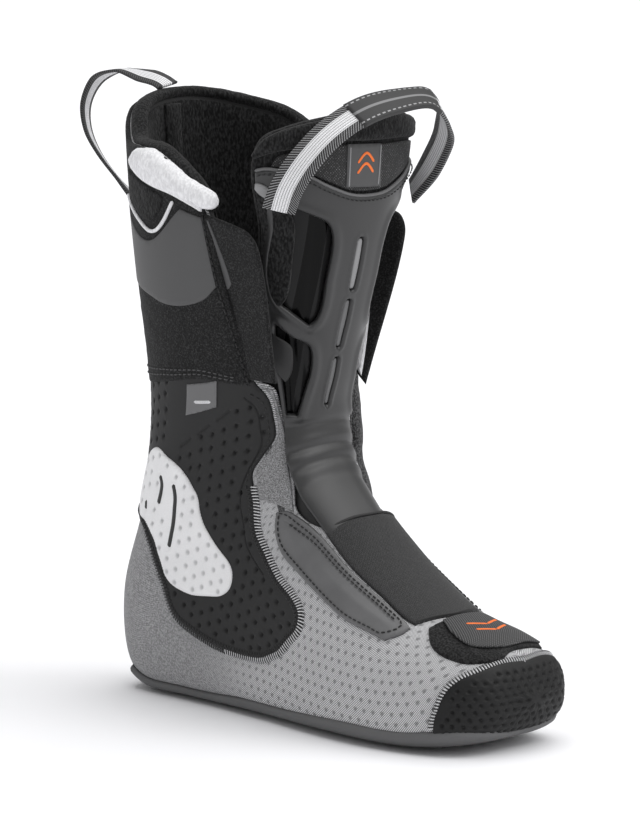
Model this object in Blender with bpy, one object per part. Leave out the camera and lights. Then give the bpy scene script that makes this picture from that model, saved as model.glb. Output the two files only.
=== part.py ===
"""Right inner boot (removable liner) of an alpine ski boot, built as separate sewn and moulded pieces.

The foot shape is a last: a row of stations from the toe tip over the instep to the cuff rim. Each
station is a rounded section through a top point and a bottom point. Every panel is an outline drawn
on that last, cut from the same grid of triangles and given its own inner and outer offset, so layers
that lie on each other never cross. Design lengths are in millimetres, and the model is in metres.
"""
import math

import bmesh
import bpy
import numpy as np
from mathutils import Vector
from mathutils.geometry import delaunay_2d_cdt

MM = 0.001                   # metres in a millimetre
HEEL_TO_ORIGIN = 116.7       # the heel lies this far behind the origin, mm
MIDDLE_TO_ORIGIN = 0.0       # the foot's middle plane lies this far to the right of the origin, mm
SOLE_DEPTH = 2.8             # the flat tread lies this far below the last, mm
COLUMN_STEP = 18.0           # degrees between the last's grid columns

# Offsets from the last, mm (inner face, outer face)
FOAM = (-8.0, -2.0)
SKIN = (-1.7, -0.3)
LINING = (-9.7, -8.3)
BOARD = (-9.9, -8.3)
FOOTBED = (-13.5, -10.2)
PANEL = (0.0, 1.5)
FELT = (0.0, 0.8)
WRAP = (0.0, 2.4)
PAD = (1.8, 2.9)
SOLE = (1.5, 3.5)
CUFF_PANEL = (2.7, 3.3)
PIPING = (2.7, 3.8)
COLLAR = (2.7, 4.6)
TAB = (1.4, 2.9)

# Stations of the last: top x, top z, bottom x, bottom z, half width, middle (0 top to 1 bottom),
# roundness of the top half, roundness of the bottom half, sideways shift at the top and at the bottom
STATIONS = np.array([
    (284, 31, 284, 19, 15.0, 0.50, 2.2, 2.2, 9, 9),
    (282, 41, 281, 12, 27.0, 0.55, 2.4, 2.6, 8, 8),
    (275, 49, 274, 7, 36.0, 0.60, 2.5, 3.4, 7, 6),
    (261, 55, 261, 3.5, 42.0, 0.64, 2.5, 4.5, 6, 4),
    (244, 60, 243, 1, 45.5, 0.68, 2.4, 5.0, 5, 2),
    (225, 67, 220, 0, 47.0, 0.69, 2.3, 5.0, 5, 0),
    (204, 81, 192, 0, 46.5, 0.69, 2.3, 5.0, 5, -1),
    (184, 97, 160, 0, 43.5, 0.68, 2.5, 5.0, 5, -1.5),
    (166, 113, 128, 0, 39.5, 0.66, 2.8, 5.0, 5, -1),
    (152, 129, 92, 0, 37.0, 0.64, 3.0, 5.0, 5, 0),
    (144, 144, 56, 0, 36.5, 0.62, 3.1, 4.5, 5, 0),
    (141, 155, 20, 0, 36.5, 0.60, 3.1, 3.6, 5, 0),
    (140, 163, 3, 13, 37.5, 0.58, 3.1, 3.0, 5, 0),
    (140, 172, -1, 48, 38.5, 0.55, 3.1, 2.6, 5, 0),
    (142, 184, 11, 90, 39.5, 0.52, 3.0, 2.3, 4, 0),
    (146, 198, 21, 130, 42.0, 0.50, 2.9, 2.2, 3, 0),
    (153, 220, 25, 172, 46.5, 0.50, 2.7, 2.2, 2, 0),
    (161, 246, 20, 233, 54.0, 0.50, 2.5, 2.2, 1, 0),
    (168, 278, 15, 285, 58.0, 0.50, 2.4, 2.2, 0, 0),
    (172, 312, 12, 335, 60.0, 0.50, 2.3, 2.2, 0, 0),
    (174, 338, 10, 362, 61.0, 0.50, 2.3, 2.2, 0, 0),
], dtype=float)
LAST_ROWS = [0, 0.5, 1, 2, 3, 4, 5, 6, 7, 8, 9, 10, 11, 12, 13, 14, 15, 15.5, 16, 16.5, 17, 17.5,
             18, 18.5, 19, 19.5]

# Stations of the tongue: ridge x, ridge z, half width, depth, sideways shift
TONGUE_STATIONS = np.array([
    (165, 112, 25.0, 14, 5),
    (152, 127, 24.5, 14, 5),
    (144, 141, 24.0, 14, 5),
    (141, 155, 24.0, 16, 5),
    (142, 170, 26.5, 20, 4),
    (147, 186, 32.0, 30, 3),
    (152, 204, 38.0, 38, 2),
    (158, 222, 42.5, 44, 1.5),
    (164, 242, 46.5, 49, 1),
    (169, 264, 49.0, 52, 1),
    (172, 288, 56.0, 53, 1),
    (174, 310, 59.0, 53, 1),
    (175, 332, 59.0, 53, 1),
], dtype=float)
TONGUE_ROUNDNESS = 2.5
TONGUE_EDGE = 75.0           # degrees from the ridge to the tongue's side edge
TONGUE_COLUMNS = 11
TONGUE_PAD = (-8.5, -0.3)
TONGUE_SHIELD = (0.0, 1.8)
TONGUE_INSERT = (0.0, 0.9)
TONGUE_TRIM = (2.1, 3.2)

FLAP_CLOTH = (-2.4, 0.0)
FLAP_PLUSH = (-3.6, -2.7)

STRAP_THICKNESS = 1.8


def spline(rows, u):
    """Catmull-Rom interpolation between the rows of a table."""
    last = len(rows) - 1
    u = min(max(u, 0.0), last - 1e-9)
    i = int(u)
    f = u - i
    p0, p1, p2, p3 = (rows[min(max(k, 0), last)] for k in (i - 1, i, i + 1, i + 2))
    linear = (p2 - p0) * f
    square = (2 * p0 - 5 * p1 + 4 * p2 - p3) * f * f
    cube = (-p0 + 3 * p1 - 3 * p2 + p3) * f ** 3
    return 0.5 * (2 * p1 + linear + square + cube)


def rounded(angle, roundness):
    """Cosine and sine of a superellipse of the given roundness."""
    c, s = math.cos(angle), math.sin(angle)
    r = (abs(c) ** roundness + abs(s) ** roundness) ** (-1.0 / roundness)
    return c * r, s * r


def last_point(u, v):
    """Point of the last at station u and v degrees round the section, from the top to the left."""
    tx, tz, bx, bz, width, mid, round_top, round_bottom, y_top, y_bottom = spline(STATIONS, u)
    upper = math.cos(math.radians(v)) >= 0
    c, s = rounded(math.radians(v), round_top if upper else round_bottom)
    mx, mz = tx + mid * (bx - tx), tz + mid * (bz - tz)
    ex, ez = (tx, tz) if upper else (bx, bz)
    depth = mid * (1 - abs(c)) if upper else mid + (1 - mid) * abs(c)
    y = y_top + (y_bottom - y_top) * depth + width * s
    return np.array((mx + (ex - mx) * abs(c), y, mz + (ez - mz) * abs(c)))


def tongue_point(u, v):
    """Point of the tongue at row u and v degrees from its ridge line."""
    x, z, half, depth, shift = spline(TONGUE_STATIONS, u)
    ahead = spline(TONGUE_STATIONS, u + 0.3)
    behind = spline(TONGUE_STATIONS, u - 0.3)
    run = np.array((ahead[0] - behind[0], ahead[1] - behind[1]))
    run /= np.linalg.norm(run)
    c, s = rounded(math.radians(v), TONGUE_ROUNDNESS)
    sag = depth * (1 - c)
    return np.array((x - run[1] * sag, shift + half * s, z + run[0] * sag))


def world(point):
    """A design point in metres, from the origin at the middle of the tread."""
    x, y, z = point
    lifted = max(z, -SOLE_DEPTH) + SOLE_DEPTH
    return Vector((x - HEEL_TO_ORIGIN, y - MIDDLE_TO_ORIGIN, lifted)) * MM


class Surface:
    """A grid of points and unit normals. Outlines are given in its own (u, v) values."""

    def __init__(self, us, vs, point, ring):
        self.us, self.vs, self.ring = np.array(us, float), np.array(vs, float), ring
        self.points = np.array([[point(u, v) for v in vs] for u in us])
        along = np.gradient(self.points, axis=0)
        if ring:
            across = np.roll(self.points, -1, 1) - np.roll(self.points, 1, 1)
        else:
            across = np.gradient(self.points, axis=1)
        normals = np.cross(across, along)
        self.normals = normals / np.linalg.norm(normals, axis=2, keepdims=True)

    def grid(self, u, v):
        """Grid row and column of a (u, v) value."""
        row = float(np.interp(u, self.us, range(len(self.us))))
        if self.ring:
            return row, (v - self.vs[0]) / (self.vs[1] - self.vs[0])
        return row, float(np.interp(v, self.vs, range(len(self.vs))))

    def at(self, row, column):
        """Point and normal at a grid position, linear in each of a cell's two triangles."""
        rows, columns = self.points.shape[:2]
        i = min(int(row + 1e-6), rows - 2)
        j = math.floor(column + 1e-6)
        if not self.ring:
            j = min(j, columns - 2)
        a, b = row - i, column - j
        j0, j1 = j % columns, (j + 1) % columns
        corner = (i + 1, j0) if a >= b else (i, j1)
        long_way, short_way = max(a, b), min(a, b)
        values = []
        for table in (self.points, self.normals):
            start, turn, end = table[i, j0], table[corner], table[i + 1, j1]
            values.append(start + long_way * (turn - start) + short_way * (end - turn))
        return values


def inside(x, y, loop):
    """Whether a point lies inside a closed loop of points."""
    odd = False
    for (x0, y0), (x1, y1) in zip(loop, loop[1:] + loop[:1]):
        if (y0 > y) != (y1 > y) and x < x0 + (y - y0) * (x1 - x0) / (y1 - y0):
            odd = not odd
    return odd


def cut(surface, outline, holes):
    """Grid triangles inside an outline: their corners as (row, column), and index triples."""
    loops = [[surface.grid(u, v) for u, v in loop] for loop in [outline, *holes]]
    points, edges = [], []
    for loop in loops:
        start = len(points)
        points += loop
        edges += [(start + k, start + (k + 1) % len(loop)) for k in range(len(loop))]
    rows = [p[0] for p in loops[0]]
    columns = [p[1] for p in loops[0]]
    row_range = range(math.floor(min(rows)), math.ceil(max(rows)) + 1)
    column_range = range(math.floor(min(columns)), math.ceil(max(columns)) + 1)
    index = {}
    for i in row_range:
        for j in column_range:
            index[i, j] = len(points)
            points.append((i, j))
    for (i, j), k in index.items():
        edges += [(k, index[step]) for step in ((i + 1, j), (i, j + 1), (i + 1, j + 1)) if step in index]
    corners, _, faces, *_ = delaunay_2d_cdt([Vector(p) for p in points], edges, [], 0, 1e-3)
    kept = []
    for face in faces:
        x = sum(corners[k][0] for k in face) / 3
        y = sum(corners[k][1] for k in face) / 3
        if inside(x, y, loops[0]) and not any(inside(x, y, hole) for hole in loops[1:]):
            kept.append(tuple(face))
    return corners, kept


def layer(name, surface, outline, offsets, material, holes=(), tip=False):
    """One closed piece: the surface inside the outline, between two offsets from it."""
    corners, faces = cut(surface, outline, holes)
    columns = surface.points.shape[1]
    spots, triangles, places = {}, [], []
    for face in faces:
        triangle = []
        for k in face:
            row, column = corners[k]
            key = (round(row, 3), round(column % columns if surface.ring else column, 3))
            if surface.ring and key[1] == columns:
                key = (key[0], 0.0)
            if key not in spots:
                spots[key] = len(places)
                places.append(surface.at(row, column))
            triangle.append(spots[key])
        if len(set(triangle)) == 3:
            triangles.append(triangle)
    mesh = bmesh.new()
    inner, outer = offsets
    sheets = []
    for offset in (inner, outer):
        sheets.append([mesh.verts.new(world(point + normal * offset)) for point, normal in places])
    low, high = sheets
    directed = set()
    for a, b, c in triangles:
        mesh.faces.new((high[a], high[b], high[c]))
        mesh.faces.new((low[c], low[b], low[a]))
        directed |= {(a, b), (b, c), (c, a)}
    rows_of = {number: key[0] for key, number in spots.items()}
    rim = [(a, b) for a, b in directed if (b, a) not in directed]
    ends = [(a, b) for a, b in rim if tip and rows_of[a] == 0 and rows_of[b] == 0]
    if ends:
        middles = [sum((sheet[a].co for a, _ in ends), Vector()) / len(ends) for sheet in sheets]
        centres = [mesh.verts.new(middle) for middle in middles]
    for a, b in sorted(rim):
        if (a, b) in ends:
            mesh.faces.new((high[b], high[a], centres[1]))
            mesh.faces.new((low[a], low[b], centres[0]))
        else:
            mesh.faces.new((high[b], high[a], low[a], low[b]))
    if mesh.calc_volume(signed=True) < 0:
        bmesh.ops.reverse_faces(mesh, faces=mesh.faces[:])
    bmesh.ops.triangulate(mesh, faces=[face for face in mesh.faces if len(face.verts) > 3])
    return finish(name, mesh, material)


def finish(name, mesh, material):
    """Put a finished mesh in the scene as one named piece."""
    data = bpy.data.meshes.new(name)
    mesh.to_mesh(data)
    mesh.free()
    data.materials.append(material)
    data.shade_smooth()
    piece = bpy.data.objects.new(name, data)
    PARTS.objects.link(piece)
    return piece


def paint(name, colour, roughness, metallic=0.0):
    """A plain material of one colour."""
    material = bpy.data.materials.new(name)
    material.use_nodes = True
    shader = material.node_tree.nodes["Principled BSDF"]
    shader.inputs["Base Color"].default_value = (*colour, 1.0)
    shader.inputs["Roughness"].default_value = roughness
    shader.inputs["Metallic"].default_value = metallic
    return material


def mirrored(outline):
    """The same outline on the other side of the boot."""
    return [(u, 360.0 - v) for u, v in reversed(outline)]


for old in list(bpy.data.objects):
    bpy.data.objects.remove(old)
PARTS = bpy.data.collections.new("ski_boot_liner")
bpy.context.scene.collection.children.link(PARTS)

LAST = Surface(LAST_ROWS, np.arange(0, 360, COLUMN_STEP), last_point, ring=True)
TONGUE = Surface(range(len(TONGUE_STATIONS)), np.linspace(-TONGUE_EDGE, TONGUE_EDGE, TONGUE_COLUMNS),
                 tongue_point, ring=False)

# ---------------------------------------------------------------------------------------------------
# Materials
# ---------------------------------------------------------------------------------------------------
FOAM_GREY = paint("foam", (0.10, 0.10, 0.105), 0.9)
MESH_GREY = paint("grey_mesh", (0.30, 0.30, 0.31), 0.75)
RUBBER_GREY = paint("sole_rubber", (0.085, 0.085, 0.09), 0.6)
EVA_BLACK = paint("moulded_eva", (0.03, 0.03, 0.032), 0.6)
GEL_WHITE = paint("white_gel", (0.80, 0.80, 0.79), 0.5)
CLOTH_BLACK = paint("brushed_cloth", (0.022, 0.022, 0.024), 0.9)
SMOOTH_GREY = paint("smooth_grey", (0.075, 0.075, 0.078), 0.5)
PLUSH_BLACK = paint("black_plush", (0.015, 0.015, 0.016), 0.95)
PLUSH_WHITE = paint("white_plush", (0.78, 0.78, 0.78), 0.95)
FELT_GREY = paint("grey_felt", (0.24, 0.24, 0.25), 0.95)
LEATHER_GREY = paint("grey_leather", (0.12, 0.12, 0.122), 0.45)
NEOPRENE = paint("neoprene", (0.05, 0.05, 0.052), 0.7)
SHIELD_GREY = paint("shield_plastic", (0.075, 0.077, 0.08), 0.4)
GLOSS_BLACK = paint("gloss_black", (0.01, 0.01, 0.011), 0.15)
TRIM_SILVER = paint("silver_trim", (0.55, 0.56, 0.57), 0.35)
WEBBING = paint("webbing", (0.05, 0.05, 0.052), 0.7)
BOARD_TAN = paint("insole_board", (0.35, 0.30, 0.22), 0.8)
FOOTBED_GREY = paint("footbed_foam", (0.16, 0.16, 0.17), 0.85)
COUNTER_PLASTIC = paint("counter_plastic", (0.20, 0.20, 0.21), 0.5)

# ---------------------------------------------------------------------------------------------------
# Foam body, skin and what lies inside. The throat is open from the instep band to the rim.
# ---------------------------------------------------------------------------------------------------
FOLD_LINE = [(15.0, 57), (15.65, 61.5), (16.25, 66.5), (16.8, 70.5), (17.1, 72.5), (17.85, 77.5)]
RIM_LEFT = [(18.2, 86), (18.55, 96), (18.8, 112), (18.88, 135), (18.92, 155)]
RIM_RIGHT = [(18.8, 205), (18.68, 215), (18.5, 227), (18.5, 240), (18.5, 256), (18.2, 274)]
FOAM_THROAT = [(7.3, 0), (7.4, 20), (7.9, 36), (9.05, 52), (9.9, 49), (12.15, 46), (13.5, 49), (14.25, 53)]
SKIN_THROAT = [(7.5, 0), (7.6, 24), (8.3, 39.5), (9.05, 44.5), (9.9, 39), (12.15, 36), (13.5, 40),
               (14.25, 44)]


def boot_outline(throat):
    """Whole boot with an open throat, unrolled from the top round the left side to the top again."""
    right_edge = mirrored(throat + FOLD_LINE)
    return [(0, 0)] + throat + FOLD_LINE + RIM_LEFT + [(18.9, 180)] + RIM_RIGHT + right_edge + [(0, 360)]


layer("body_foam", LAST, boot_outline(FOAM_THROAT), FOAM, FOAM_GREY, tip=True)
layer("upper_mesh", LAST, boot_outline(SKIN_THROAT), SKIN, MESH_GREY, tip=True)

BOARD_LEFT = [(1.2, 180), (1.4, 150), (3, 133), (5, 133), (7, 137), (9, 147), (10.8, 152)]
layer("insole_board", LAST, BOARD_LEFT + [(11.0, 180)] + mirrored(BOARD_LEFT[1:]), BOARD, BOARD_TAN)
BED_LEFT = [(1.5, 180), (1.7, 152), (3, 137), (5, 137), (7, 141), (9, 150), (10.5, 156)]
layer("footbed", LAST, BED_LEFT + [(10.7, 180)] + mirrored(BED_LEFT[1:]), FOOTBED, FOOTBED_GREY)
COUNTER_LEFT = [(13.2, 115), (12.0, 110), (11.3, 138)]
layer("heel_counter", LAST, [(13.9, 180), (13.8, 145)] + COUNTER_LEFT + [(11.2, 180)]
      + mirrored(COUNTER_LEFT) + [(13.8, 215)], LINING, COUNTER_PLASTIC)
LINING_EDGE = [(u, v + 1.5) for u, v in FOLD_LINE]
LINING_RIM = [(u - 0.1, v) for u, v in RIM_LEFT + [(18.9, 180)] + RIM_RIGHT]
layer("cuff_lining", LAST, [(14.7, 61)] + LINING_EDGE + LINING_RIM + mirrored([(14.7, 61)] + LINING_EDGE)
      + [(14.7, 180)], LINING, PLUSH_BLACK)

# ---------------------------------------------------------------------------------------------------
# Sole and toe cap
# ---------------------------------------------------------------------------------------------------
SOLE_LEFT = [(1.45, 180), (1.55, 140), (2.2, 124), (3.5, 121), (4.3, 122), (5.5, 123), (6.7, 128),
             (7.65, 132), (8.65, 134), (9.45, 138), (10.85, 141), (11.5, 143), (11.8, 160)]
layer("outsole", LAST, SOLE_LEFT + [(11.85, 180)] + mirrored(SOLE_LEFT[1:]), SOLE, RUBBER_GREY)
CAP_EDGE = [(1.45, 0), (1.65, 22), (2.0, 45), (2.6, 62), (2.9, 74), (3.15, 95), (3.25, 119)]
layer("toe_cap", LAST, [(0, 0)] + CAP_EDGE + [(3.3, 180)] + mirrored(CAP_EDGE) + [(0, 360)], PANEL,
      EVA_BLACK, tip=True)

# ---------------------------------------------------------------------------------------------------
# Side panels with their ankle pads, felt gussets and stitched leather
# ---------------------------------------------------------------------------------------------------
WRAP_HEM = [(14.9, 304), (14.92, 290), (15.36, 271), (15.62, 250), (15.92, 223), (16.07, 180)]
SIDE_PANEL = [(14.75, 304), (14.2, 312), (13.5, 316), (12.3, 318), (11.95, 312), (11.7, 307), (11.2, 306),
              (10.5, 304), (9.8, 299), (9.25, 297), (8.55, 294), (7.95, 293), (7.55, 290), (7.5, 284),
              (7.7, 276), (8.0, 265), (8.35, 256), (9.2, 250), (10.05, 250), (11.05, 253), (11.4, 256),
              (12.15, 256), (12.95, 249), (13.15, 230), (13.3, 205), (13.35, 181), (16.0, 181),
              (15.86, 223), (15.56, 250), (15.3, 271), (14.86, 290)]
ANKLE_PAD = [(14.85, 230), (14.8, 240), (14.45, 252), (14.1, 262), (13.55, 274), (12.95, 282), (12.3, 285),
             (11.5, 287), (10.25, 286), (9.9, 284), (9.75, 279), (9.9, 275), (10.3, 271), (11.1, 266),
             (11.85, 260), (12.45, 258), (13.1, 248), (13.5, 236), (13.75, 226), (14.4, 224)]
FELT_GUSSET = [(14.65, 308), (14.3, 315), (13.5, 319), (12.15, 322.5), (9.9, 319), (9.1, 314), (9.6, 310.5),
               (10.45, 305.5), (11.15, 307.5), (11.6, 308.5), (11.85, 313), (12.25, 319.2), (13.5, 317.2),
               (14.25, 313)]
LEATHER = [(9.6, 308), (9.3, 312), (8.95, 314.5), (8.05, 319.5), (6.9, 322.5), (5.95, 326), (5.1, 326.5),
           (4.9, 325), (4.95, 319), (5.25, 309), (5.55, 307.5), (6.4, 303), (7.1, 302), (8.1, 301),
           (8.8, 301), (9.3, 304)]
for side, turn in (("lateral", list), ("medial", mirrored)):
    layer("side_panel_" + side, LAST, turn(SIDE_PANEL), PANEL, EVA_BLACK)
    layer("ankle_pad_" + side, LAST, turn(ANKLE_PAD), PAD, GEL_WHITE)
    layer("felt_gusset_" + side, LAST, turn(FELT_GUSSET), FELT, FELT_GREY)
    layer("instep_leather_" + side, LAST, turn(LEATHER), PANEL, LEATHER_GREY)

# ---------------------------------------------------------------------------------------------------
# Instep band, toe closure and the anchor that holds the tongue
# ---------------------------------------------------------------------------------------------------
BAND_SIDE = [(8.0, 38), (6.9, 36.3), (5.95, 32.8), (5.1, 32), (4.87, 31)]
BAND = [(7.8, 0), (7.85, 23)] + BAND_SIDE + [(4.7, 18), (4.57, 0), (4.7, -18)]
BAND += [(u, -v) for u, v in reversed(BAND_SIDE)] + [(7.85, -23)]
layer("instep_band", LAST, BAND, PANEL, NEOPRENE)
TOE_PAD = [(4.5, -28), (3.95, -40), (3.25, -45), (2.5, -43), (1.85, -24), (2.1, -5), (2.15, 15), (2.25, 36),
           (3.0, 40), (3.9, 33), (4.5, 26), (4.45, 0)]
layer("toe_pad", LAST, TOE_PAD, (0.0, 1.1), PLUSH_BLACK)
TOE_TAB = [(4.42, -17), (3.8, -24), (3.0, -29), (2.75, -27), (2.3, -11), (2.35, 19), (2.4, 34), (2.75, 31),
           (3.9, 24), (4.42, 21)]
layer("toe_tab", LAST, TOE_TAB, TAB, NEOPRENE)
TONGUE_ANCHOR = [(7.45, -20), (7.88, -24), (7.9, 0), (7.88, 24), (7.45, 20), (7.42, 0)]
layer("tongue_anchor", LAST, TONGUE_ANCHOR, (-7.5, -2.1), FOAM_GREY)

# ---------------------------------------------------------------------------------------------------
# Cuff: wrap, grey side panels, chevrons, plush collars, size tag
# ---------------------------------------------------------------------------------------------------
WRAP_EDGE = [(u, v + 0.5) for u, v in FOLD_LINE]
WRAP_LEFT = mirrored(WRAP_HEM)[1:] + WRAP_EDGE + RIM_LEFT
WRAP_RIGHT = RIM_RIGHT + mirrored(WRAP_EDGE) + WRAP_HEM[:-1]
layer("cuff_wrap", LAST, [(16.07, 180)] + WRAP_LEFT + [(18.9, 180)] + WRAP_RIGHT, WRAP, CLOTH_BLACK)
CUFF_SIDE = [(17.85, 204), (17.2, 204), (16.95, 222), (16.8, 242), (16.7, 253), (16.65, 266), (16.7, 280),
             (16.85, 287), (17.1, 285.5), (17.8, 281), (17.84, 275), (17.88, 269), (17.46, 251),
             (17.43, 243), (17.62, 226), (17.85, 215)]
CHEVRON = [(17.75, 227), (17.55, 244), (17.57, 249), (17.9, 261.5), (17.9, 266), (17.5, 251),
           (17.47, 243.5), (17.68, 226)]
CHEVRON_FILL = [(17.86, 228), (17.74, 237.5), (17.67, 246), (17.68, 250), (17.86, 257.5), (17.99, 259.5),
                (18.07, 251.5), (18.15, 238.5), (18.2, 229)]
COLLAR_EDGE = [(17.88, 281), (17.95, 274.5), (18.04, 264.5), (18.12, 251.5), (18.2, 238.5), (18.27, 230),
               (18.42, 230), (18.47, 240), (18.47, 256), (18.17, 274), (17.95, 281)]
for side, turn in (("lateral", list), ("medial", mirrored)):
    layer("cuff_panel_" + side, LAST, turn(CUFF_SIDE), CUFF_PANEL, SMOOTH_GREY)
    layer("chevron_" + side, LAST, turn(CHEVRON), PIPING, PLUSH_WHITE)
    layer("chevron_fill_" + side, LAST, turn(CHEVRON_FILL), CUFF_PANEL, PLUSH_BLACK)
    layer("collar_" + side, LAST, turn(COLLAR_EDGE), COLLAR, PLUSH_WHITE)
layer("size_tag", LAST, [(15.38, 262), (15.0, 284), (14.55, 285), (14.9, 262)], (1.8, 2.2), SMOOTH_GREY)

# ---------------------------------------------------------------------------------------------------
# Cuff flaps, which fold along the front edges of the wrap. Each has the sign of its reach across the
# sheet, the two ends of its fold line on the last, and the two front corners.
# ---------------------------------------------------------------------------------------------------
FLAPS = {
    "lateral": (1, [(15.0, 303), (17.85, 282.5)], [(143, -41, 184), (147, -59, 266)]),
    "medial": (-1, [(15.0, 57), (17.85, 77.5)], [(129.5, 45, 174), (148.5, 61.5, 268)]),
}
FLAP_OUTLINE = [(0.0, 0.17), (0.0, 1.0), (0.82, 1.0), (0.93, 0.94), (0.99, 0.8), (1.0, 0.6), (1.0, 0.09)]
LINING_OUTLINE = [(0.03, 0.2), (0.02, 0.72), (0.1, 0.72), (0.5, 0.56), (0.75, 0.45), (0.95, 0.38), (0.96, 0.12)]


def on_last(u, v, offset):
    """Point at an offset from the last."""
    point, normal = LAST.at(*LAST.grid(u, v))
    return point + normal * offset


for side, (turn, fold_ends, front_ends) in FLAPS.items():
    bottom_fold, top_fold = (on_last(u, v, WRAP[1]) for u, v in fold_ends)
    bottom_front, top_front = (np.array(point, float) for point in front_ends)

    def flap_point(u, v):
        """Point of the flap at height u and v times its reach in front of the fold line."""
        fold = bottom_fold + (top_fold - bottom_fold) * u
        tip = bottom_front + (top_front - bottom_front) * u
        return fold + (tip - fold) * abs(v)

    reach = sorted(turn * v for v in np.linspace(0, 1, 5))
    sheet = Surface(np.linspace(0, 1, 7), reach, flap_point, ring=False)
    cloth = [(u, turn * v) for u, v in FLAP_OUTLINE]
    plush = [(u, turn * v) for u, v in LINING_OUTLINE]
    layer("flap_" + side, sheet, cloth, FLAP_CLOTH, CLOTH_BLACK)
    layer("flap_plush_" + side, sheet, plush, FLAP_PLUSH, PLUSH_WHITE)

# ---------------------------------------------------------------------------------------------------
# Tongue: padded body, plastic shield with openings, inserts, mesh panel and label
# ---------------------------------------------------------------------------------------------------


def flipped(outline):
    """A tongue outline on the other side of the ridge."""
    return [(u, -v) for u, v in reversed(outline)]


def inset(outline, step):
    """An outline pulled towards its own middle by a share of its size."""
    u0 = sum(u for u, _ in outline) / len(outline)
    v0 = sum(v for _, v in outline) / len(outline)
    return [(u0 + (u - u0) * (1 - step), v0 + (v - v0) * (1 - step)) for u, v in outline]


def slot(low, high, half, v_low, v_high):
    """A round-ended slot of a half width, whose middle goes from v_low to v_high."""
    ends = [(0.0, 0.45), (0.05, 0.9), (0.14, 1.0)]
    left = [(low + step, wide) for step, wide in ends] + [(high - step, wide) for step, wide in reversed(ends)]
    slope = (v_high - v_low) / (high - low)
    return [(u, v_low + slope * (u - low) + v * half) for u, v in left + flipped(left)]


PAD_LEFT = [(11.95, 0), (11.75, 30), (11.5, 52), (11.2, 66), (10.6, 71), (9.6, 72), (6, 71), (3, 70),
            (0.05, 70)]
layer("tongue_pad", TONGUE, PAD_LEFT + flipped(PAD_LEFT[1:]), TONGUE_PAD, PLUSH_BLACK)
SHIELD_LEFT = [(9.88, 0), (9.93, 14), (10.15, 28), (10.4, 40), (10.5, 58), (10.4, 67), (8, 67), (5, 67),
               (3, 66), (0.12, 66)]
UPPER_WINDOW = [(9.45, -36.5), (9.27, -28), (8.95, -25), (7.975, -25.5), (6.75, -29.5), (6.55, -34), (6.875, -48),
                (7.1, -57), (9.7, -57), (9.62, -48.5)]
LOWER_WINDOW = [(5.9, -33), (5.55, -30.5), (4.1, -40), (3.65, -46), (3.65, -60), (5.0, -61), (6.35, -58),
                (6.12, -47)]
OPENINGS = {
    "slot_insert_top": slot(7.6, 8.93, 2.5, -4, -3.5),
    "slot_insert_middle": slot(5.87, 7.33, 2.6, -5.7, -5.3),
    "slot_insert_low": slot(3.95, 5.55, 2.9, -10, -6.5),
    "upper_window_lateral": UPPER_WINDOW,
    "upper_window_medial": flipped(UPPER_WINDOW),
    "lower_window_lateral": LOWER_WINDOW,
    "lower_window_medial": flipped(LOWER_WINDOW),
}
layer("tongue_shield", TONGUE, SHIELD_LEFT + flipped(SHIELD_LEFT[1:]), TONGUE_SHIELD, SHIELD_GREY,
      holes=list(OPENINGS.values()))
for name, outline in OPENINGS.items():
    layer(name, TONGUE, inset(outline, 0.08), TONGUE_INSERT, TRIM_SILVER if "slot" in name else GLOSS_BLACK)
MESH_LOW = [(10.55, -58), (10.5, -42), (10.25, -28), (10.02, -14), (9.97, 0), (10.02, 14), (10.25, 28),
            (10.5, 42), (10.55, 58)]
MESH_HIGH = [(10.87, 54), (11.06, 37), (11.11, 0), (11.12, -28), (10.95, -46), (10.83, -54)]
layer("tongue_mesh", TONGUE, MESH_LOW + MESH_HIGH,
      (0.0, 0.7), MESH_GREY)
COLLAR_LOW = [(10.75, 68), (10.95, 58), (11.13, 37), (11.18, 0), (11.19, -28), (11.03, -46), (10.88, -58),
              (10.68, -68)]
COLLAR_HIGH = [(10.8, -69.5), (11.17, -64), (11.45, -52), (11.7, -30), (11.9, 0), (11.7, 30), (11.45, 52),
               (11.17, 64), (10.8, 69.5)]
layer("tongue_collar", TONGUE, COLLAR_LOW + COLLAR_HIGH, (0.0, 2.2), PLUSH_BLACK)
layer("tongue_label", TONGUE, [(10.15, -17), (10.12, 9), (11.04, 7), (11.1, -17)], (1.0, 1.5), SMOOTH_GREY)
layer("lace_hook", TONGUE, [(9.95, -66.5), (10.25, -66.5), (10.25, -61), (9.95, -60)], TONGUE_TRIM, TRIM_SILVER)
layer("tongue_blade", TONGUE, [(6.1, -60), (5.9, -47), (5.75, -45.5), (4.75, -53), (4.65, -56), (4.95, -63)], TONGUE_TRIM,
      SHIELD_GREY)

# ---------------------------------------------------------------------------------------------------
# Pull loops
# ---------------------------------------------------------------------------------------------------
LOOP_STEPS = 2               # grid steps between two points of a loop's route
TONGUE_LOOP = np.array([(154, -49, 279), (162.2, -50.7, 292.3), (172, -47.4, 307), (179.9, -35.9, 321.3),
                        (186.6, -17.6, 332), (191.3, 3.7, 336.6), (194.1, 24.2, 336.7), (192.6, 37.7, 328),
                        (183.4, 48.6, 315), (169.2, 53.8, 298), (153, 56, 282)])
TONGUE_LOOP_WIDTHS = np.array([(-0.66, -0.72, 0.06), (-0.80, -0.41, 0.40), (-0.82, -0.20, 0.52),
                               (-0.78, 0.01, 0.63), (-0.72, 0.28, 0.65), (-0.68, 0.54, 0.49),
                               (-0.54, 0.79, 0.23), (-0.69, 0.72, -0.09), (-0.95, 0.33, -0.08),
                               (-0.96, 0.22, 0.09), (-0.90, 0.40, 0.02)])
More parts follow.
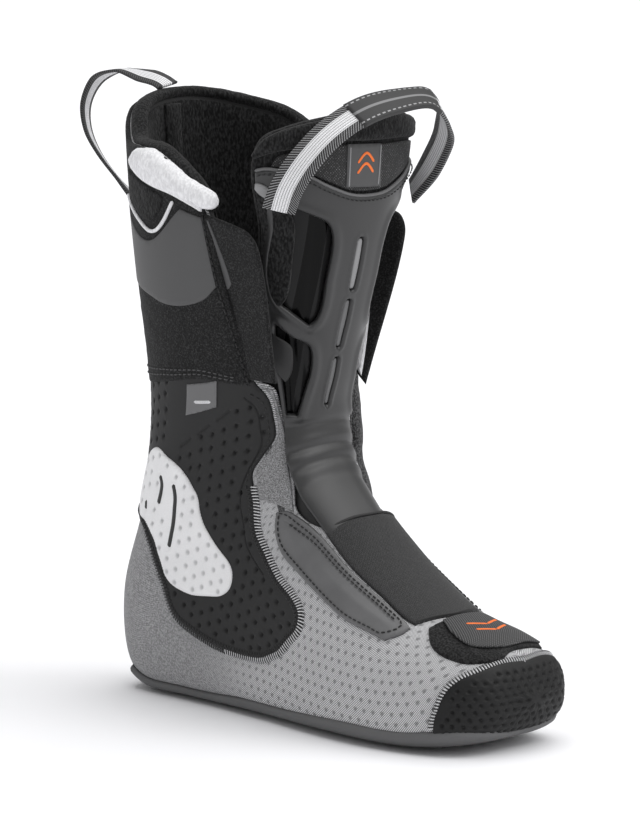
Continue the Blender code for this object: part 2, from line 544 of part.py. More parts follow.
REAR_LOOP = np.array([(19, 0, 336), (12.5, 0, 338.5), (1.1, 0, 340.6), (-19.1, 0, 342.6), (-36.8, 0, 336.6),
                      (-47, 0, 322.5), (-45.8, 0, 307.2), (-35.2, 0, 292.8), (-17.2, 0, 278.2), (8, 0, 262)])
REAR_LOOP_WIDTHS = np.array([(-0.31, 0.89, 0.33), (-0.35, 0.88, 0.30), (-0.46, 0.83, 0.32), (-0.70, 0.72, -0.05),
                             (-0.52, 0.80, -0.32), (-0.45, 0.87, -0.18), (-0.53, 0.84, -0.09),
                             (-0.63, 0.77, -0.11), (-0.62, 0.78, -0.12), (0.0, 1.0, 0.0)])


def strap(route, widths, half_width):
    """A ribbon along a route; widths gives its width direction at each point of the route."""
    def point(u, v):
        """Point at row u of the route and v half widths from its middle."""
        ahead, behind = spline(route, u + 0.05), spline(route, u - 0.05)
        run = (ahead - behind) / np.linalg.norm(ahead - behind)
        wide = spline(widths, u)
        wide = wide - run * wide.dot(run)
        return spline(route, u) + wide / np.linalg.norm(wide) * v * half_width

    spans = len(route) - 1
    return Surface(np.linspace(0, spans, spans * LOOP_STEPS + 1), [-1, 0, 1], point, ring=False)


tongue_strap = strap(TONGUE_LOOP, TONGUE_LOOP_WIDTHS, 9.0)
layer("tongue_loop", tongue_strap, [(0, -1), (0, 1), (10, 1), (10, -1)],
      (-STRAP_THICKNESS / 2, STRAP_THICKNESS / 2), WEBBING)
layer("loop_sleeve", tongue_strap, [(3.9, -1), (3.9, 1), (6.2, 1), (6.2, -1)], (1.2, 2.2), LEATHER_GREY)
rear_strap = strap(REAR_LOOP, REAR_LOOP_WIDTHS, 7.5)
layer("rear_loop", rear_strap, [(0, -1), (0, 1), (9, 1), (9, -1)],
      (-STRAP_THICKNESS / 2, STRAP_THICKNESS / 2), WEBBING)
layer("rear_loop_anchor", LAST, [(17.1, 172), (17.6, 172), (17.6, 188), (17.1, 188)], PIPING, WEBBING)
layer("rear_loop_tail", LAST, [(18.2, 173), (18.78, 173), (18.78, 187), (18.2, 187)], (-11.4, -10.1), WEBBING)
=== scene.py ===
"""Looks of the ski boot liner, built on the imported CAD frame.

Every panel is a smooth, finely meshed copy of its CAD piece, drawn with nearly the same outline on the
same surface, with rounded edges, dimples, seams and real stitches. Lengths are in millimetres until a
mesh is made, and the surfaces are those of the CAD source.
"""

import math

import bpy
import bmesh
import numpy as np
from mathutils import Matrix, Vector, kdtree, noise
from mathutils.geometry import delaunay_2d_cdt


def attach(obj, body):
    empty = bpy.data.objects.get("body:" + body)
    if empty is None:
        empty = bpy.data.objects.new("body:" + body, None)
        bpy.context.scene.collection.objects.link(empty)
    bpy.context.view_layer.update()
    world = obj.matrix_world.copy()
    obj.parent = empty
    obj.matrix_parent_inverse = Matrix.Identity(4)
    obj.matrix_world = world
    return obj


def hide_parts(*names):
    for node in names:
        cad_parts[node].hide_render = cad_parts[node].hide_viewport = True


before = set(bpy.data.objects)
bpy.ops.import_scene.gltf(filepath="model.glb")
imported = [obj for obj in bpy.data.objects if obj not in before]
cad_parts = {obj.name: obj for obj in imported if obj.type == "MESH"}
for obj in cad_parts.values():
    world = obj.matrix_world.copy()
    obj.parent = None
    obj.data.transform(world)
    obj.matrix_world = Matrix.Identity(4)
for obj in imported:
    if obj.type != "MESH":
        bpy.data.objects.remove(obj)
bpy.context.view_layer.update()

MM = 0.001
ORIGIN = np.array((116.7, 0.0, -2.8))    # the frame's origin in design millimetres
COARSE = 1.0

# ---- Surfaces of the boot: the last, the tongue, the flaps and the straps ----
STATIONS = np.array([
    (284, 31, 284, 19, 15.0, 0.50, 2.2, 2.2, 9, 9),
    (282, 41, 281, 12, 27.0, 0.55, 2.4, 2.6, 8, 8),
    (275, 49, 274, 7, 36.0, 0.60, 2.5, 3.4, 7, 6),
    (261, 55, 261, 3.5, 42.0, 0.64, 2.5, 4.5, 6, 4),
    (244, 60, 243, 1, 45.5, 0.68, 2.4, 5.0, 5, 2),
    (225, 67, 220, 0, 47.0, 0.69, 2.3, 5.0, 5, 0),
    (204, 81, 192, 0, 46.5, 0.69, 2.3, 5.0, 5, -1),
    (184, 97, 160, 0, 43.5, 0.68, 2.5, 5.0, 5, -1.5),
    (166, 113, 128, 0, 39.5, 0.66, 2.8, 5.0, 5, -1),
    (152, 129, 92, 0, 37.0, 0.64, 3.0, 5.0, 5, 0),
    (144, 144, 56, 0, 36.5, 0.62, 3.1, 4.5, 5, 0),
    (141, 155, 20, 0, 36.5, 0.60, 3.1, 3.6, 5, 0),
    (140, 163, 3, 13, 37.5, 0.58, 3.1, 3.0, 5, 0),
    (140, 172, -1, 48, 38.5, 0.55, 3.1, 2.6, 5, 0),
    (142, 184, 11, 90, 39.5, 0.52, 3.0, 2.3, 4, 0),
    (146, 198, 21, 130, 42.0, 0.50, 2.9, 2.2, 3, 0),
    (153, 220, 25, 172, 46.5, 0.50, 2.7, 2.2, 2, 0),
    (161, 246, 20, 233, 54.0, 0.50, 2.5, 2.2, 1, 0),
    (168, 278, 15, 285, 58.0, 0.50, 2.4, 2.2, 0, 0),
    (172, 312, 12, 335, 60.0, 0.50, 2.3, 2.2, 0, 0),
    (174, 338, 10, 362, 61.0, 0.50, 2.3, 2.2, 0, 0),
], dtype=float)
TONGUE_STATIONS = np.array([
    (165, 112, 25.0, 14, 5),
    (152, 127, 24.5, 14, 5),
    (144, 141, 24.0, 14, 5),
    (141, 155, 24.0, 16, 5),
    (142, 170, 26.5, 20, 4),
    (147, 186, 32.0, 30, 3),
    (152, 204, 38.0, 38, 2),
    (158, 222, 42.5, 44, 1.5),
    (164, 242, 46.5, 49, 1),
    (169, 264, 49.0, 52, 1),
    (172, 288, 56.0, 53, 1),
    (174, 310, 59.0, 53, 1),
    (175, 332, 59.0, 53, 1),
], dtype=float)
SLIM_ROWS = (0, 1, 2.4, 3.9, 5.3, 6.4, 7.5, 8.6, 9.5, 10.25)
SLIM_SHARES = (0.3, 0.26, 0.13, 0.11, 0.16, 0.23, 0.27, 0.25, 0.14, 0.0)
SPREAD_ROWS = (0, 0.8, 2, 3.5, 5)
SPREAD_SHARES = (0.10, 0.26, 0.30, 0.12, 0.0)
TONGUE_EDGE = 76                         # the tongue's edge, in degrees from its ridge
FOOT_FORWARD, FOOT_DOWN = 9.0, 9.5       # how far the tongue's lower end runs on under the band
TOE_BULGE = 2.0                          # how far the toe's end stands past its first station


def spline(rows, u):
    """Catmull-Rom interpolation between the rows of a table, for many values of u."""
    last_row = len(rows) - 1
    u = np.clip(u, 0, last_row - 1e-9)
    i = u.astype(int)
    f = (u - i)[:, None]
    p0, p1, p2, p3 = (rows[np.clip(i + k, 0, last_row)] for k in (-1, 0, 1, 2))
    return 0.5 * (2 * p1 + (p2 - p0) * f + (2 * p0 - 5 * p1 + 4 * p2 - p3) * f ** 2
                  + (3 * p1 - p0 - 3 * p2 + p3) * f ** 3)


def rounded(v, roundness):
    """Cosine and sine of a superellipse of the given roundness."""
    c, s = np.cos(np.radians(v)), np.sin(np.radians(v))
    r = (np.abs(c) ** roundness + np.abs(s) ** roundness) ** (-1.0 / roundness)
    return c * r, s * r


def last_point(u, v):
    """Points of the last. Below station 0 the section closes to its middle."""
    close = np.clip(-u, 0, 1)
    tx, tz, bx, bz, width, mid, top_round, low_round, y_top, y_low = spline(STATIONS, np.maximum(u, 0)).T
    upper = np.cos(np.radians(v)) >= 0
    c, s = rounded(v, np.where(upper, top_round, low_round))
    mx, mz = tx + mid * (bx - tx), tz + mid * (bz - tz)
    ex, ez = np.where(upper, tx, bx), np.where(upper, tz, bz)
    depth = np.where(upper, mid * (1 - np.abs(c)), mid + (1 - mid) * np.abs(c))
    y = y_top + (y_low - y_top) * depth
    point = np.stack((mx + (ex - mx) * np.abs(c), y + width * s, mz + (ez - mz) * np.abs(c)), 1)
    centre = np.stack((mx, y_top, mz), 1)
    point = centre + (point - centre) * (1 - close)[:, None]
    point[:, 0] += TOE_BULGE * (1 - (1 - close) ** 2)
    return point


def tongue_point(u, v):
    """Points of the tongue, v degrees from its ridge.

    Its medial side is slimmed, its lateral foot spread, and its lower end runs down under the band.
    """
    x, z, half, depth, shift = spline(TONGUE_STATIONS, u).T
    run = spline(TONGUE_STATIONS, u + 0.3)[:, :2] - spline(TONGUE_STATIONS, u - 0.3)[:, :2]
    run /= np.linalg.norm(run, axis=1, keepdims=True)
    c, s = rounded(v, 2.5)
    sag = depth * (1 - c)
    bow = np.sin(math.pi * np.clip(v, 0, TONGUE_EDGE) / TONGUE_EDGE)
    slim = np.interp(u, SLIM_ROWS, SLIM_SHARES) * np.clip(bow, 0, 1) ** 0.8
    spread = np.where(v < 0, np.interp(u, SPREAD_ROWS, SPREAD_SHARES), 0.0)
    foot = np.clip(1 - u, 0, 1) ** 2
    return np.stack((x + FOOT_FORWARD * foot - run[:, 1] * sag, shift + half * s * (1 - slim + spread),
                     z - FOOT_DOWN * foot + run[:, 0] * sag), 1)


def lengths(points):
    """Running length along a row of points."""
    return np.concatenate(([0.0], np.cumsum(np.linalg.norm(np.diff(points, axis=0), axis=1))))


def unit(vectors):
    """Vectors made one long."""
    size = np.linalg.norm(vectors, axis=-1, keepdims=True)
    return vectors / np.maximum(size, 1e-9)


class Sheet:
    """A curved surface of one body, with outward normals and its own flat coordinates in millimetres."""

    def __init__(self, body, point, us, vs, middle, steps=(0.02, 0.5)):
        self.body, self.point, self.us, self.vs, self.steps = body, point, us, vs, steps
        grid_u, grid_v = np.meshgrid(us, vs, indexing="ij")
        self.table = point(grid_u.ravel(), grid_v.ravel()).reshape(len(us), len(vs), 3)
        centre = int(np.argmin(np.abs(vs - middle)))
        self.along = lengths(self.table[:, centre])
        across = np.linalg.norm(np.diff(self.table, axis=1), axis=2)
        across = np.concatenate((np.zeros((len(us), 1)), np.cumsum(across, axis=1)), axis=1)
        self.across = across - across[:, centre:centre + 1]

    def at(self, uv):
        """Points of the surface."""
        return self.point(uv[:, 0], uv[:, 1])

    def slopes(self, uv):
        """How the point moves with u and with v."""
        (u, v), (du, dv) = uv.T, self.steps
        along = (self.point(u + du, v) - self.point(u - du, v)) / (2 * du)
        across = (self.point(u, v + dv) - self.point(u, v - dv)) / (2 * dv)
        return along, across

    def normal(self, uv):
        """Outward normals."""
        along, across = self.slopes(uv)
        n = np.cross(across, along)
        n[np.linalg.norm(n, axis=1) < 1e-3] = (1.0, 0.0, 0.0)
        return unit(n)

    def lifted(self, uv, offset):
        """Points at an offset from the surface."""
        return self.at(uv) + self.normal(uv) * np.broadcast_to(offset, len(uv))[:, None]

    def flat(self, uv):
        """Flat coordinates in millimetres."""
        u, v = uv.T
        row = np.interp(u, self.us, np.arange(len(self.us)))
        column = np.interp(v, self.vs, np.arange(len(self.vs)))
        i = np.minimum(row.astype(int), len(self.us) - 2)
        j = np.minimum(column.astype(int), len(self.vs) - 2)
        a, b = row - i, column - j
        table = self.across
        across = (table[i, j] * (1 - a) * (1 - b) + table[i + 1, j] * a * (1 - b)
                  + table[i, j + 1] * (1 - a) * b + table[i + 1, j + 1] * a * b)
        return np.stack((np.interp(u, self.us, self.along), across), 1)

    def inward(self, uv, closed=True):
        """The (u, v) step that moves 1 mm sideways from a path, to the left of its run in (u, v)."""
        along, across = self.slopes(uv)
        run = np.roll(uv, -1, 0) - np.roll(uv, 1, 0) if closed else np.gradient(uv, axis=0)
        run3 = unit(along * run[:, :1] + across * run[:, 1:])
        side = np.cross(run3, unit(np.cross(across, along)))
        aa, ab, bb = (np.sum(x * y, 1) for x, y in ((along, along), (along, across), (across, across)))
        p, q = np.sum(along * side, 1), np.sum(across * side, 1)
        det = aa * bb - ab ** 2
        det = np.where(np.abs(det) < 1e-6, 1e-6, det)
        return np.stack(((bb * p - ab * q) / det, (aa * q - ab * p) / det), 1)


LAST = Sheet("liner", last_point, np.linspace(-1, 20, 211), np.linspace(-180, 540, 481), 180)
TONGUE = Sheet("tongue", tongue_point, np.linspace(0, 12, 121), np.linspace(-TONGUE_EDGE, TONGUE_EDGE, 115), 0)

# ---- Outlines: smooth curves through the CAD outlines' points ----
SHARP_TURN = 50.0            # a corner that turns more than this stays a corner, degrees


def smooth_loop(sheet, outline, step):
    """A closed outline resampled at about the given step, curved between its sharp corners."""
    points = np.array(outline, float)
    count = len(points)
    place = sheet.at(points)
    seam = [abs(a[0] - b[0]) > 1e-9 and a[1] == b[1] and a[1] in (0, 360) or (a[0] == b[0] == -1)
            for a, b in zip(outline, outline[1:] + outline[:1])]
    ahead = unit(np.roll(place, -1, 0) - place)
    behind = unit(place - np.roll(place, 1, 0))
    turn = np.degrees(np.arccos(np.clip(np.sum(ahead * behind, 1), -1, 1)))
    samples, on_seam = [], []
    for k in range(count):
        after = (k + 1) % count
        a, b = points[k], points[after]
        corner_a = turn[k] > SHARP_TURN or seam[k - 1]
        corner_b = turn[after] > SHARP_TURN or seam[after]
        length = np.linalg.norm(place[after] - place[k])
        pieces = max(1, int(math.ceil(length / step)))
        if seam[k]:
            probe = np.linspace(0, 1, 40)
            line = a + (b - a) * probe[:, None]
            pieces = max(2, int(math.ceil(lengths(sheet.at(line))[-1] / step)))
        t = (np.arange(pieces) / pieces)[:, None]
        if seam[k]:
            samples.append(a + (b - a) * t)
        else:
            before, beyond = points[k - 1], points[(after + 1) % count]
            la = np.linalg.norm(place[k] - place[k - 1])
            lb = np.linalg.norm(place[(after + 1) % count] - place[after])
            ta = (b - a) if corner_a else ((a - before) / max(la, 1e-6) + (b - a) / length) * 0.5 * length
            tb = (b - a) if corner_b else ((b - a) / length + (beyond - b) / max(lb, 1e-6)) * 0.5 * length
            h = t * t * (3 - 2 * t)
            samples.append(a + (b - a) * h + ta * (t ** 3 - 2 * t ** 2 + t) + tb * (t ** 3 - t ** 2))
        on_seam += [seam[k]] * pieces
    return np.concatenate(samples), np.array(on_seam)


def inside(points, loop):
    """Which points lie inside a closed loop."""
    odd = np.zeros(len(points), bool)
    x, y = points[:, 0], points[:, 1]
    for (x0, y0), (x1, y1) in zip(loop, np.roll(loop, -1, 0)):
        if y0 == y1:
            continue
        crossing = (y0 > y) != (y1 > y)
        odd ^= crossing & (x < x0 + (y - y0) * (x1 - x0) / (y1 - y0))
    return odd


def within(points, loops):
    """Which points lie inside the first loop and outside the others."""
    keep = inside(points, loops[0])
    for hole in loops[1:]:
        keep &= ~inside(points, hole)
    return keep


def tree_of(points):
    """A search tree of points."""
    tree = kdtree.KDTree(len(points))
    for k, p in enumerate(points):
        tree.insert(p, k)
    tree.balance()
    return tree


def nearest(tree, points):
    """Distance from each point to the tree's nearest."""
    return np.array([tree.find(p)[2] for p in points])


def mirrored(outline):
    """The same outline on the other side of the boot."""
    return [(u, 360.0 - v) for u, v in reversed(outline)]


def reflected(path):
    """The same path on the other side of the boot, run the same way."""
    return [(u, 360 - v) for u, v in path]


SIDES = {"lateral": (list, list), "medial": (mirrored, reflected)}


def flipped(outline):
    """A tongue outline on the other side of the ridge."""
    return [(u, -v) for u, v in reversed(outline)]


# ---- Mesh makers ----


def add(name, data):
    """A new object of the scene."""
    thing = bpy.data.objects.new(name, data)
    bpy.context.scene.collection.objects.link(thing)
    return thing


def make_object(name, verts, faces, uvs, tone, material, body, replaces):
    """A mesh object from arrays, welded, shaded smooth and fixed to its body."""
    mesh = bpy.data.meshes.new(name)
    place = (verts - ORIGIN) * MM
    place[:, 2] = np.maximum(place[:, 2], 0.0)
    mesh.from_pydata(place.tolist(), [], faces)
    layer = mesh.uv_layers.new(name="Weave")
    corner = np.zeros(len(mesh.loops), np.int32)
    mesh.loops.foreach_get("vertex_index", corner)
    layer.data.foreach_set("uv", uvs[corner].astype(np.float32).ravel())
    # a point attribute that carries the painted shade of the pressed marks
    attribute = mesh.attributes.new("tone", "FLOAT", "POINT")
    attribute.data.foreach_set("value", np.asarray(tone, np.float32))
    work = bmesh.new()
    work.from_mesh(mesh)
    bmesh.ops.remove_doubles(work, verts=work.verts[:], dist=4e-6)
    bmesh.ops.dissolve_degenerate(work, edges=work.edges[:], dist=1e-7)
    bmesh.ops.recalc_face_normals(work, faces=work.faces[:])
    work.to_mesh(mesh)
    work.free()
    mesh.materials.append(material)
    mesh.shade_smooth()
    thing = add(name, mesh)
    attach(thing, body)
    if replaces:
        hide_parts(*replaces)
    return thing


class Mark:
    """A dimple or a groove pressed into a panel: sample points, a radius, a depth and a share of painted shade for
    its hollow.
    """

    def __init__(self, points, radius, depth, tone, rim=0.0):
        self.points, self.radius, self.depth, self.tone, self.rim = np.array(points), radius, depth, tone, rim


def edge_of(sheet, outline):
    """The smooth loop of an outline, and a search tree of it."""
    loop, _ = smooth_loop(sheet, outline, 1.0)
    return loop, tree_of(sheet.at(loop))


CLEAR_OF_EDGE, MERGED = 0.08, 0.22       # corners stand clear of the edge, and near ones become one


def triangulate(sheet, loops, seams, spacing, rings, marks):
    """Corners in (u, v) and triangles of the region inside the loops."""
    lo, hi = loops[0].min(0), loops[0].max(0)
    rows = np.where((sheet.us >= lo[0] - 0.2) & (sheet.us <= hi[0] + 0.2))[0]
    columns = np.where((sheet.vs >= lo[1] - 3) & (sheet.vs <= hi[1] + 3))[0]
    table = sheet.table[rows[0]:rows[-1] + 1, columns[0]:columns[-1] + 1]
    us, vs = sheet.us[rows], sheet.vs[columns]
    long_u = np.concatenate(([0], np.cumsum(np.linalg.norm(np.diff(table, axis=0), axis=2).max(1) + 1e-4)))
    long_v = np.concatenate(([0], np.cumsum(np.linalg.norm(np.diff(table, axis=1), axis=2).max(0) + 1e-4)))

    def warp(p):
        return np.stack((np.interp(p[:, 0], us, long_u), np.interp(p[:, 1], vs, long_v)), 1)

    def unwarp(p):
        return np.stack((np.interp(p[:, 0], long_u, us), np.interp(p[:, 1], long_v, vs)), 1)

    rim = np.concatenate([loop[~seam] for loop, seam in zip(loops, seams)])
    whole = np.concatenate(loops)
    border = tree_of(sheet.at(whole))
    edge = tree_of(sheet.at(rim))
    extra = []
    for loop, seam in zip(loops, seams):
        step = sheet.inward(loop)[~seam]
        for distance in rings:
            for side in (1, -1):
                ring = loop[~seam] + step * distance * side
                ring = ring[inside(ring, loops[0])]
                if len(ring):
                    away = nearest(border, sheet.at(ring))
                    extra.append(ring[away > distance * 0.8])
    near_marks = []
    for mark in marks:
        flat_u, flat_v = sheet.slopes(mark.points)
        su, sv = np.linalg.norm(flat_u, axis=1), np.linalg.norm(flat_v, axis=1)
        extra.append(mark.points)
        for share in (0.5, 0.85, 1.15):
            for turn in np.linspace(0, 2 * math.pi, 8, endpoint=False) + share:
                radius = mark.radius * share
                extra.append(mark.points + np.stack((radius * math.cos(turn) / su, radius * math.sin(turn) / sv), 1))
        near_marks.append((tree_of(sheet.at(mark.points)), mark.radius * 1.5))
    nu = max(2, int(long_u[-1] / spacing))
    nv = max(2, int(long_v[-1] / spacing))
    gu, gv = np.meshgrid(np.linspace(0, long_u[-1], nu), np.linspace(0, long_v[-1], nv), indexing="ij")
    gv = gv + (np.arange(nu)[:, None] % 2) * 0.5 * long_v[-1] / max(nv - 1, 1)
    grid = unwarp(np.stack((gu.ravel(), np.minimum(gv.ravel(), long_v[-1])), 1))
    grid = grid[within(grid, loops)]
    if len(grid):
        place = sheet.at(grid)
        keep = nearest(border, place) > max([spacing * 0.55] + [r + spacing * 0.3 for r in rings[-1:]])
        for tree, radius in near_marks:
            keep &= nearest(tree, place) > radius
        grid = grid[keep]
    if extra:
        extra = np.concatenate(extra)
        extra = extra[within(extra, loops)]
        away = nearest(border, sheet.at(extra))
        extra = extra[away > CLEAR_OF_EDGE]
        _, first = np.unique(np.round(warp(extra) / MERGED).astype(int), axis=0, return_index=True)
        extra = extra[np.sort(first)]
        grid = np.concatenate((extra, grid))
    points, edges = [], []
    start = 0
    for loop in loops:
        points.append(warp(loop))
        edges += [(start + k, start + (k + 1) % len(loop)) for k in range(len(loop))]
        start += len(loop)
    points = np.concatenate(points + [warp(grid)]) if len(grid) else np.concatenate(points)
    found, _, faces, *_ = delaunay_2d_cdt([Vector(p) for p in points], edges, [], 0, 1e-5, False)
    found = np.array([(p[0], p[1]) for p in found])
    faces = np.array([tuple(f) for f in faces])
    middles = found[faces].mean(1)
    faces = faces[within(middles, [warp(loop) for loop in loops])]
    used, index = np.unique(faces, return_inverse=True)
    return unwarp(found[used]), index.reshape(-1, 3), edge


def edge_round(tree, points, radius):
    """Distance of points from the edge, and how high they stand on its quarter round, from 0 to 1."""
    d = nearest(tree, points)
    d[d < 0.02] = 0.0
    return d, np.sqrt(1 - (1 - np.clip(d / radius, 0, 1)) ** 2)


def panel(name, sheet, outline, offsets, material, spacing, edge=None, both=False, holes=(), marks=(),
          relief=None, replaces=None, roughen=0.0, fine=None, body=None):
    """A closed piece over an outline, with rounded edges and pressed marks.

    offsets are the heights of the inner and the outer face. both rounds the edges of both faces. relief(u,
    v, d) adds millimetres to the outer face, where d is the distance to the edge. roughen is the height of
    a soft unevenness of the outer face. It stands for the CAD node of its own name unless replaces says else.
    """
    spacing = spacing * COARSE
    inner, outer = offsets
    radius = edge if edge is not None else (outer - inner) * (0.5 if both else 1.0)
    step = fine if fine is not None else min(spacing, 1.6)
    loops, seams = zip(*(smooth_loop(sheet, list(loop), step * COARSE) for loop in [outline, *holes]))
    rings = [radius * 0.12, radius * 0.4, radius * 0.9]
    corners, faces, edge_tree = triangulate(sheet, loops, seams, spacing, rings, marks)
    u, v = corners.T
    surface = sheet.at(corners)
    d, rise = edge_round(edge_tree, surface, radius)
    middle = (inner + outer) / 2 if both else inner
    height = middle + (outer - middle) * rise
    if relief:
        height = height + relief(u, v, d) * rise
    if roughen:
        bumps = np.array([noise.noise(Vector(p / 6.0)) + 0.5 * noise.noise(Vector(p / 2.3)) for p in surface])
        height = height + bumps * roughen * rise
    # painted shade: the hollows of pressed marks are darkened in colour, standing in for the shade that falls in
    # them
    tone = np.zeros(len(u))
    for mark in marks:
        away = nearest(tree_of(sheet.at(mark.points)), surface) / mark.radius
        dip = np.clip(1 - away, 0, 1)
        dip = dip * dip * (3 - 2 * dip)
        lip = np.exp(-((away - 1.25) / 0.3) ** 2) * mark.rim
        height = height - dip * mark.depth + lip
        tone = np.maximum(tone, np.clip(1.25 - away, 0, 1) * mark.tone)
    top = surface + sheet.normal(corners) * height[:, None]
    low_corners, low_faces, _ = triangulate(sheet, loops, seams, spacing * 2.5, [radius * 0.9], ())
    low_surface = sheet.at(low_corners)
    _, low_rise = edge_round(edge_tree, low_surface, radius)
    low = low_surface + sheet.normal(low_corners) * (middle - (middle - inner) * low_rise)[:, None]
    verts = np.concatenate((top, low))
    all_faces = faces.tolist() + (low_faces[:, ::-1] + len(top)).tolist()
    uvs = np.concatenate((sheet.flat(corners), sheet.flat(low_corners)))
    painted_pit_shades = np.concatenate((tone, np.zeros(len(low))))
    return make_object(name, verts, all_faces, uvs, painted_pit_shades, material, body or sheet.body,
                       [name] if replaces is None else replaces)


def tube_arrays(paths, normals, section, scale):
    """Vertices, faces and uvs of closed tubes of one section swept along many paths of equal length.

    paths and normals are (n, k, 3), section is (m, 2) in the normal and sideways directions."""
    n, k, _ = paths.shape
    m = len(section)
    run = unit(np.gradient(paths, axis=1))
    side = unit(np.cross(normals, run))
    up = unit(np.cross(run, side))
    scale = np.ones((n, k, 2)) if scale is None else np.broadcast_to(scale, (n, k, 2))
    a = section[None, None, :, 0, None] * scale[:, :, None, 0, None]
    b = section[None, None, :, 1, None] * scale[:, :, None, 1, None]
    verts = paths[:, :, None] + up[:, :, None] * a + side[:, :, None] * b
    along = np.concatenate((np.zeros((n, 1)), np.cumsum(np.linalg.norm(np.diff(paths, axis=1), axis=2), 1)), 1)
    uvs = np.stack((np.broadcast_to(along[:, :, None], (n, k, m)),
                    np.broadcast_to(section[None, None, :, 1], (n, k, m))), -1)
    index = np.arange(n * k * m).reshape(n, k, m)
    turned = np.roll(index, -1, 2)
    quads = np.stack((index[:, :-1], turned[:, :-1], turned[:, 1:], index[:, 1:]), -1).reshape(-1, 4).tolist()
    quads += index[:, 0, ::-1].tolist() + index[:, -1].tolist()
    return verts.reshape(-1, 3), quads, uvs.reshape(-1, 2)


def tubes(name, body, paths, normals, section, scale, material, replaces=()):
    """A mesh object of tubes swept along paths."""
    verts, faces, uvs = tube_arrays(paths, normals, section, scale)
    return make_object(name, verts, faces, uvs, np.zeros(len(verts)), material, body, replaces)


def circle(sides, high, wide, power=2.0):
    """Section of a tube: a circle, an ellipse, or a rounded rectangle at a high power."""
    angle = np.arange(sides) * 2 * math.pi / sides
    c, s = np.cos(angle), np.sin(angle)
    r = (np.abs(c) ** power + np.abs(s) ** power) ** (-1 / power)
    return np.stack((c * r * high, s * r * wide), 1)


def resample(sheet, path, step):
    """Points (u, v) at equal spacing on a path through (u, v) points, curved like the outlines."""
    path = np.array(path, float)
    dense = spline(path, np.linspace(0, len(path) - 1, 24 * len(path)))
    run = lengths(sheet.at(dense))
    count = max(3, int(run[-1] / step) + 1)
    at = np.linspace(0, run[-1], count)
    return np.stack((np.interp(at, run, dense[:, 0]), np.interp(at, run, dense[:, 1])), 1)


def sideways(sheet, path, distance):
    """A path moved sideways on its surface by a distance in millimetres."""
    return path + sheet.inward(path, closed=False) * np.reshape(distance, (-1, 1))


def stitches(name, sheet, path, offset, material, length, gap, radius):
    """A row of short raised stitches along a path."""
    row = resample(sheet, path, length + gap)
    nxt = row[1:]
    row = row[:-1]
    share = length / (length + gap)
    strands = []
    for t, lift in ((0, -0.2), (0.12, 0.55), (0.5, 0.95), (0.88, 0.55), (1, -0.2)):
        uv = row + (nxt - row) * t * share
        strands.append(sheet.lifted(uv, offset + lift * radius))
    paths = np.stack(strands, 1)
    normals = np.repeat(sheet.normal(row)[:, None], 5, 1)
    scale = np.array((0.5, 1, 1, 1, 0.5))[None, :, None]
    return tubes(name, sheet.body, paths, normals, circle(6, radius, radius), scale, material)


def bars(name, sheet, path, reach, offset, material, pitch, start, slant, radius):
    """Threads laid across a seam, from reach[0] to reach[1] mm sideways of the path."""
    row = resample(sheet, path, pitch)
    if start:
        row = row[:-1] + (row[1:] - row[:-1]) * start
    ends = []
    for t in (0, 0.2, 0.5, 0.8, 1):
        side = sideways(sheet, row, reach[0] + (reach[1] - reach[0]) * t)
        ahead = np.roll(side, -1, 0)
        ahead[-1] = side[-1]
        moved = side + (ahead - side) * slant * (t - 0.5)
        lift = radius * (0.9 if 0 < t < 1 else -0.3)
        level = offset[0] + (offset[1] - offset[0]) * t + lift
        ends.append(sheet.lifted(moved, level))
    paths = np.stack(ends, 1)
    normals = np.repeat(sheet.normal(row)[:, None], 5, 1)
    scale = np.array((0.6, 1, 1, 1, 0.6))[None, :, None]
    return tubes(name, sheet.body, paths, normals, circle(6, radius, radius), scale, material)


def zigzag(name, sheet, path, width, offset, material, pitch, radius):
    """One thread that zigzags along a path."""
    row = resample(sheet, path, pitch)
    turns = np.where(np.arange(len(row)) % 2, 1.0, -1.0) * width / 2
    moved = sideways(sheet, row, turns)
    dense = spline(moved, np.linspace(0, len(moved) - 1, 4 * len(moved)))
    points = sheet.lifted(dense, offset + radius * 0.6)
    normals = sheet.normal(dense)
    return tubes(name, sheet.body, points[None], normals[None], circle(6, radius, radius), None, material)


def roll(name, body, points, normals, high, wide, material, power, sides, taper, slot, roughen=0.0, replaces=()):
    """A padded roll along a line of points, thinning to round ends."""
    run = lengths(points)
    to_end = np.minimum(run, run[-1] - run)
    size = np.sqrt(np.clip(1 - (1 - np.clip(to_end / taper, 0, 1)) ** 2, 0.0025, 1))
    high, wide = np.broadcast_to(high, run.shape), np.broadcast_to(wide, run.shape)
    scale = np.stack((high * size, wide * size), 1)[None]
    verts, faces, uvs = tube_arrays(points[None], normals[None], circle(sides, 1, 1, power), scale)
    uvs[:, 1] *= np.repeat(wide, sides)
    if roughen:
        centre = np.repeat(points, sides, 0)
        bumps = np.array([noise.noise(Vector(p / 4.5)) + 0.6 * noise.noise(Vector(p / 1.8)) for p in verts])
        verts = verts + unit(verts - centre) * (bumps * roughen)[:, None]
    return make_object(name, verts, faces, uvs, np.zeros(len(verts)), material, body, replaces)


def line_roll(name, sheet, path, offset, high, wide, material, power, sides, taper, step=1.0, trim=0, body=None,
              **more):
    """A roll along a path on a surface."""
    row = resample(sheet, path, step)
    row = row[trim:len(row) - trim]
    return roll(name, body or sheet.body, sheet.lifted(row, offset), sheet.normal(row), high, wide, material, power,
                sides, taper, **more)


# ---- Materials ----


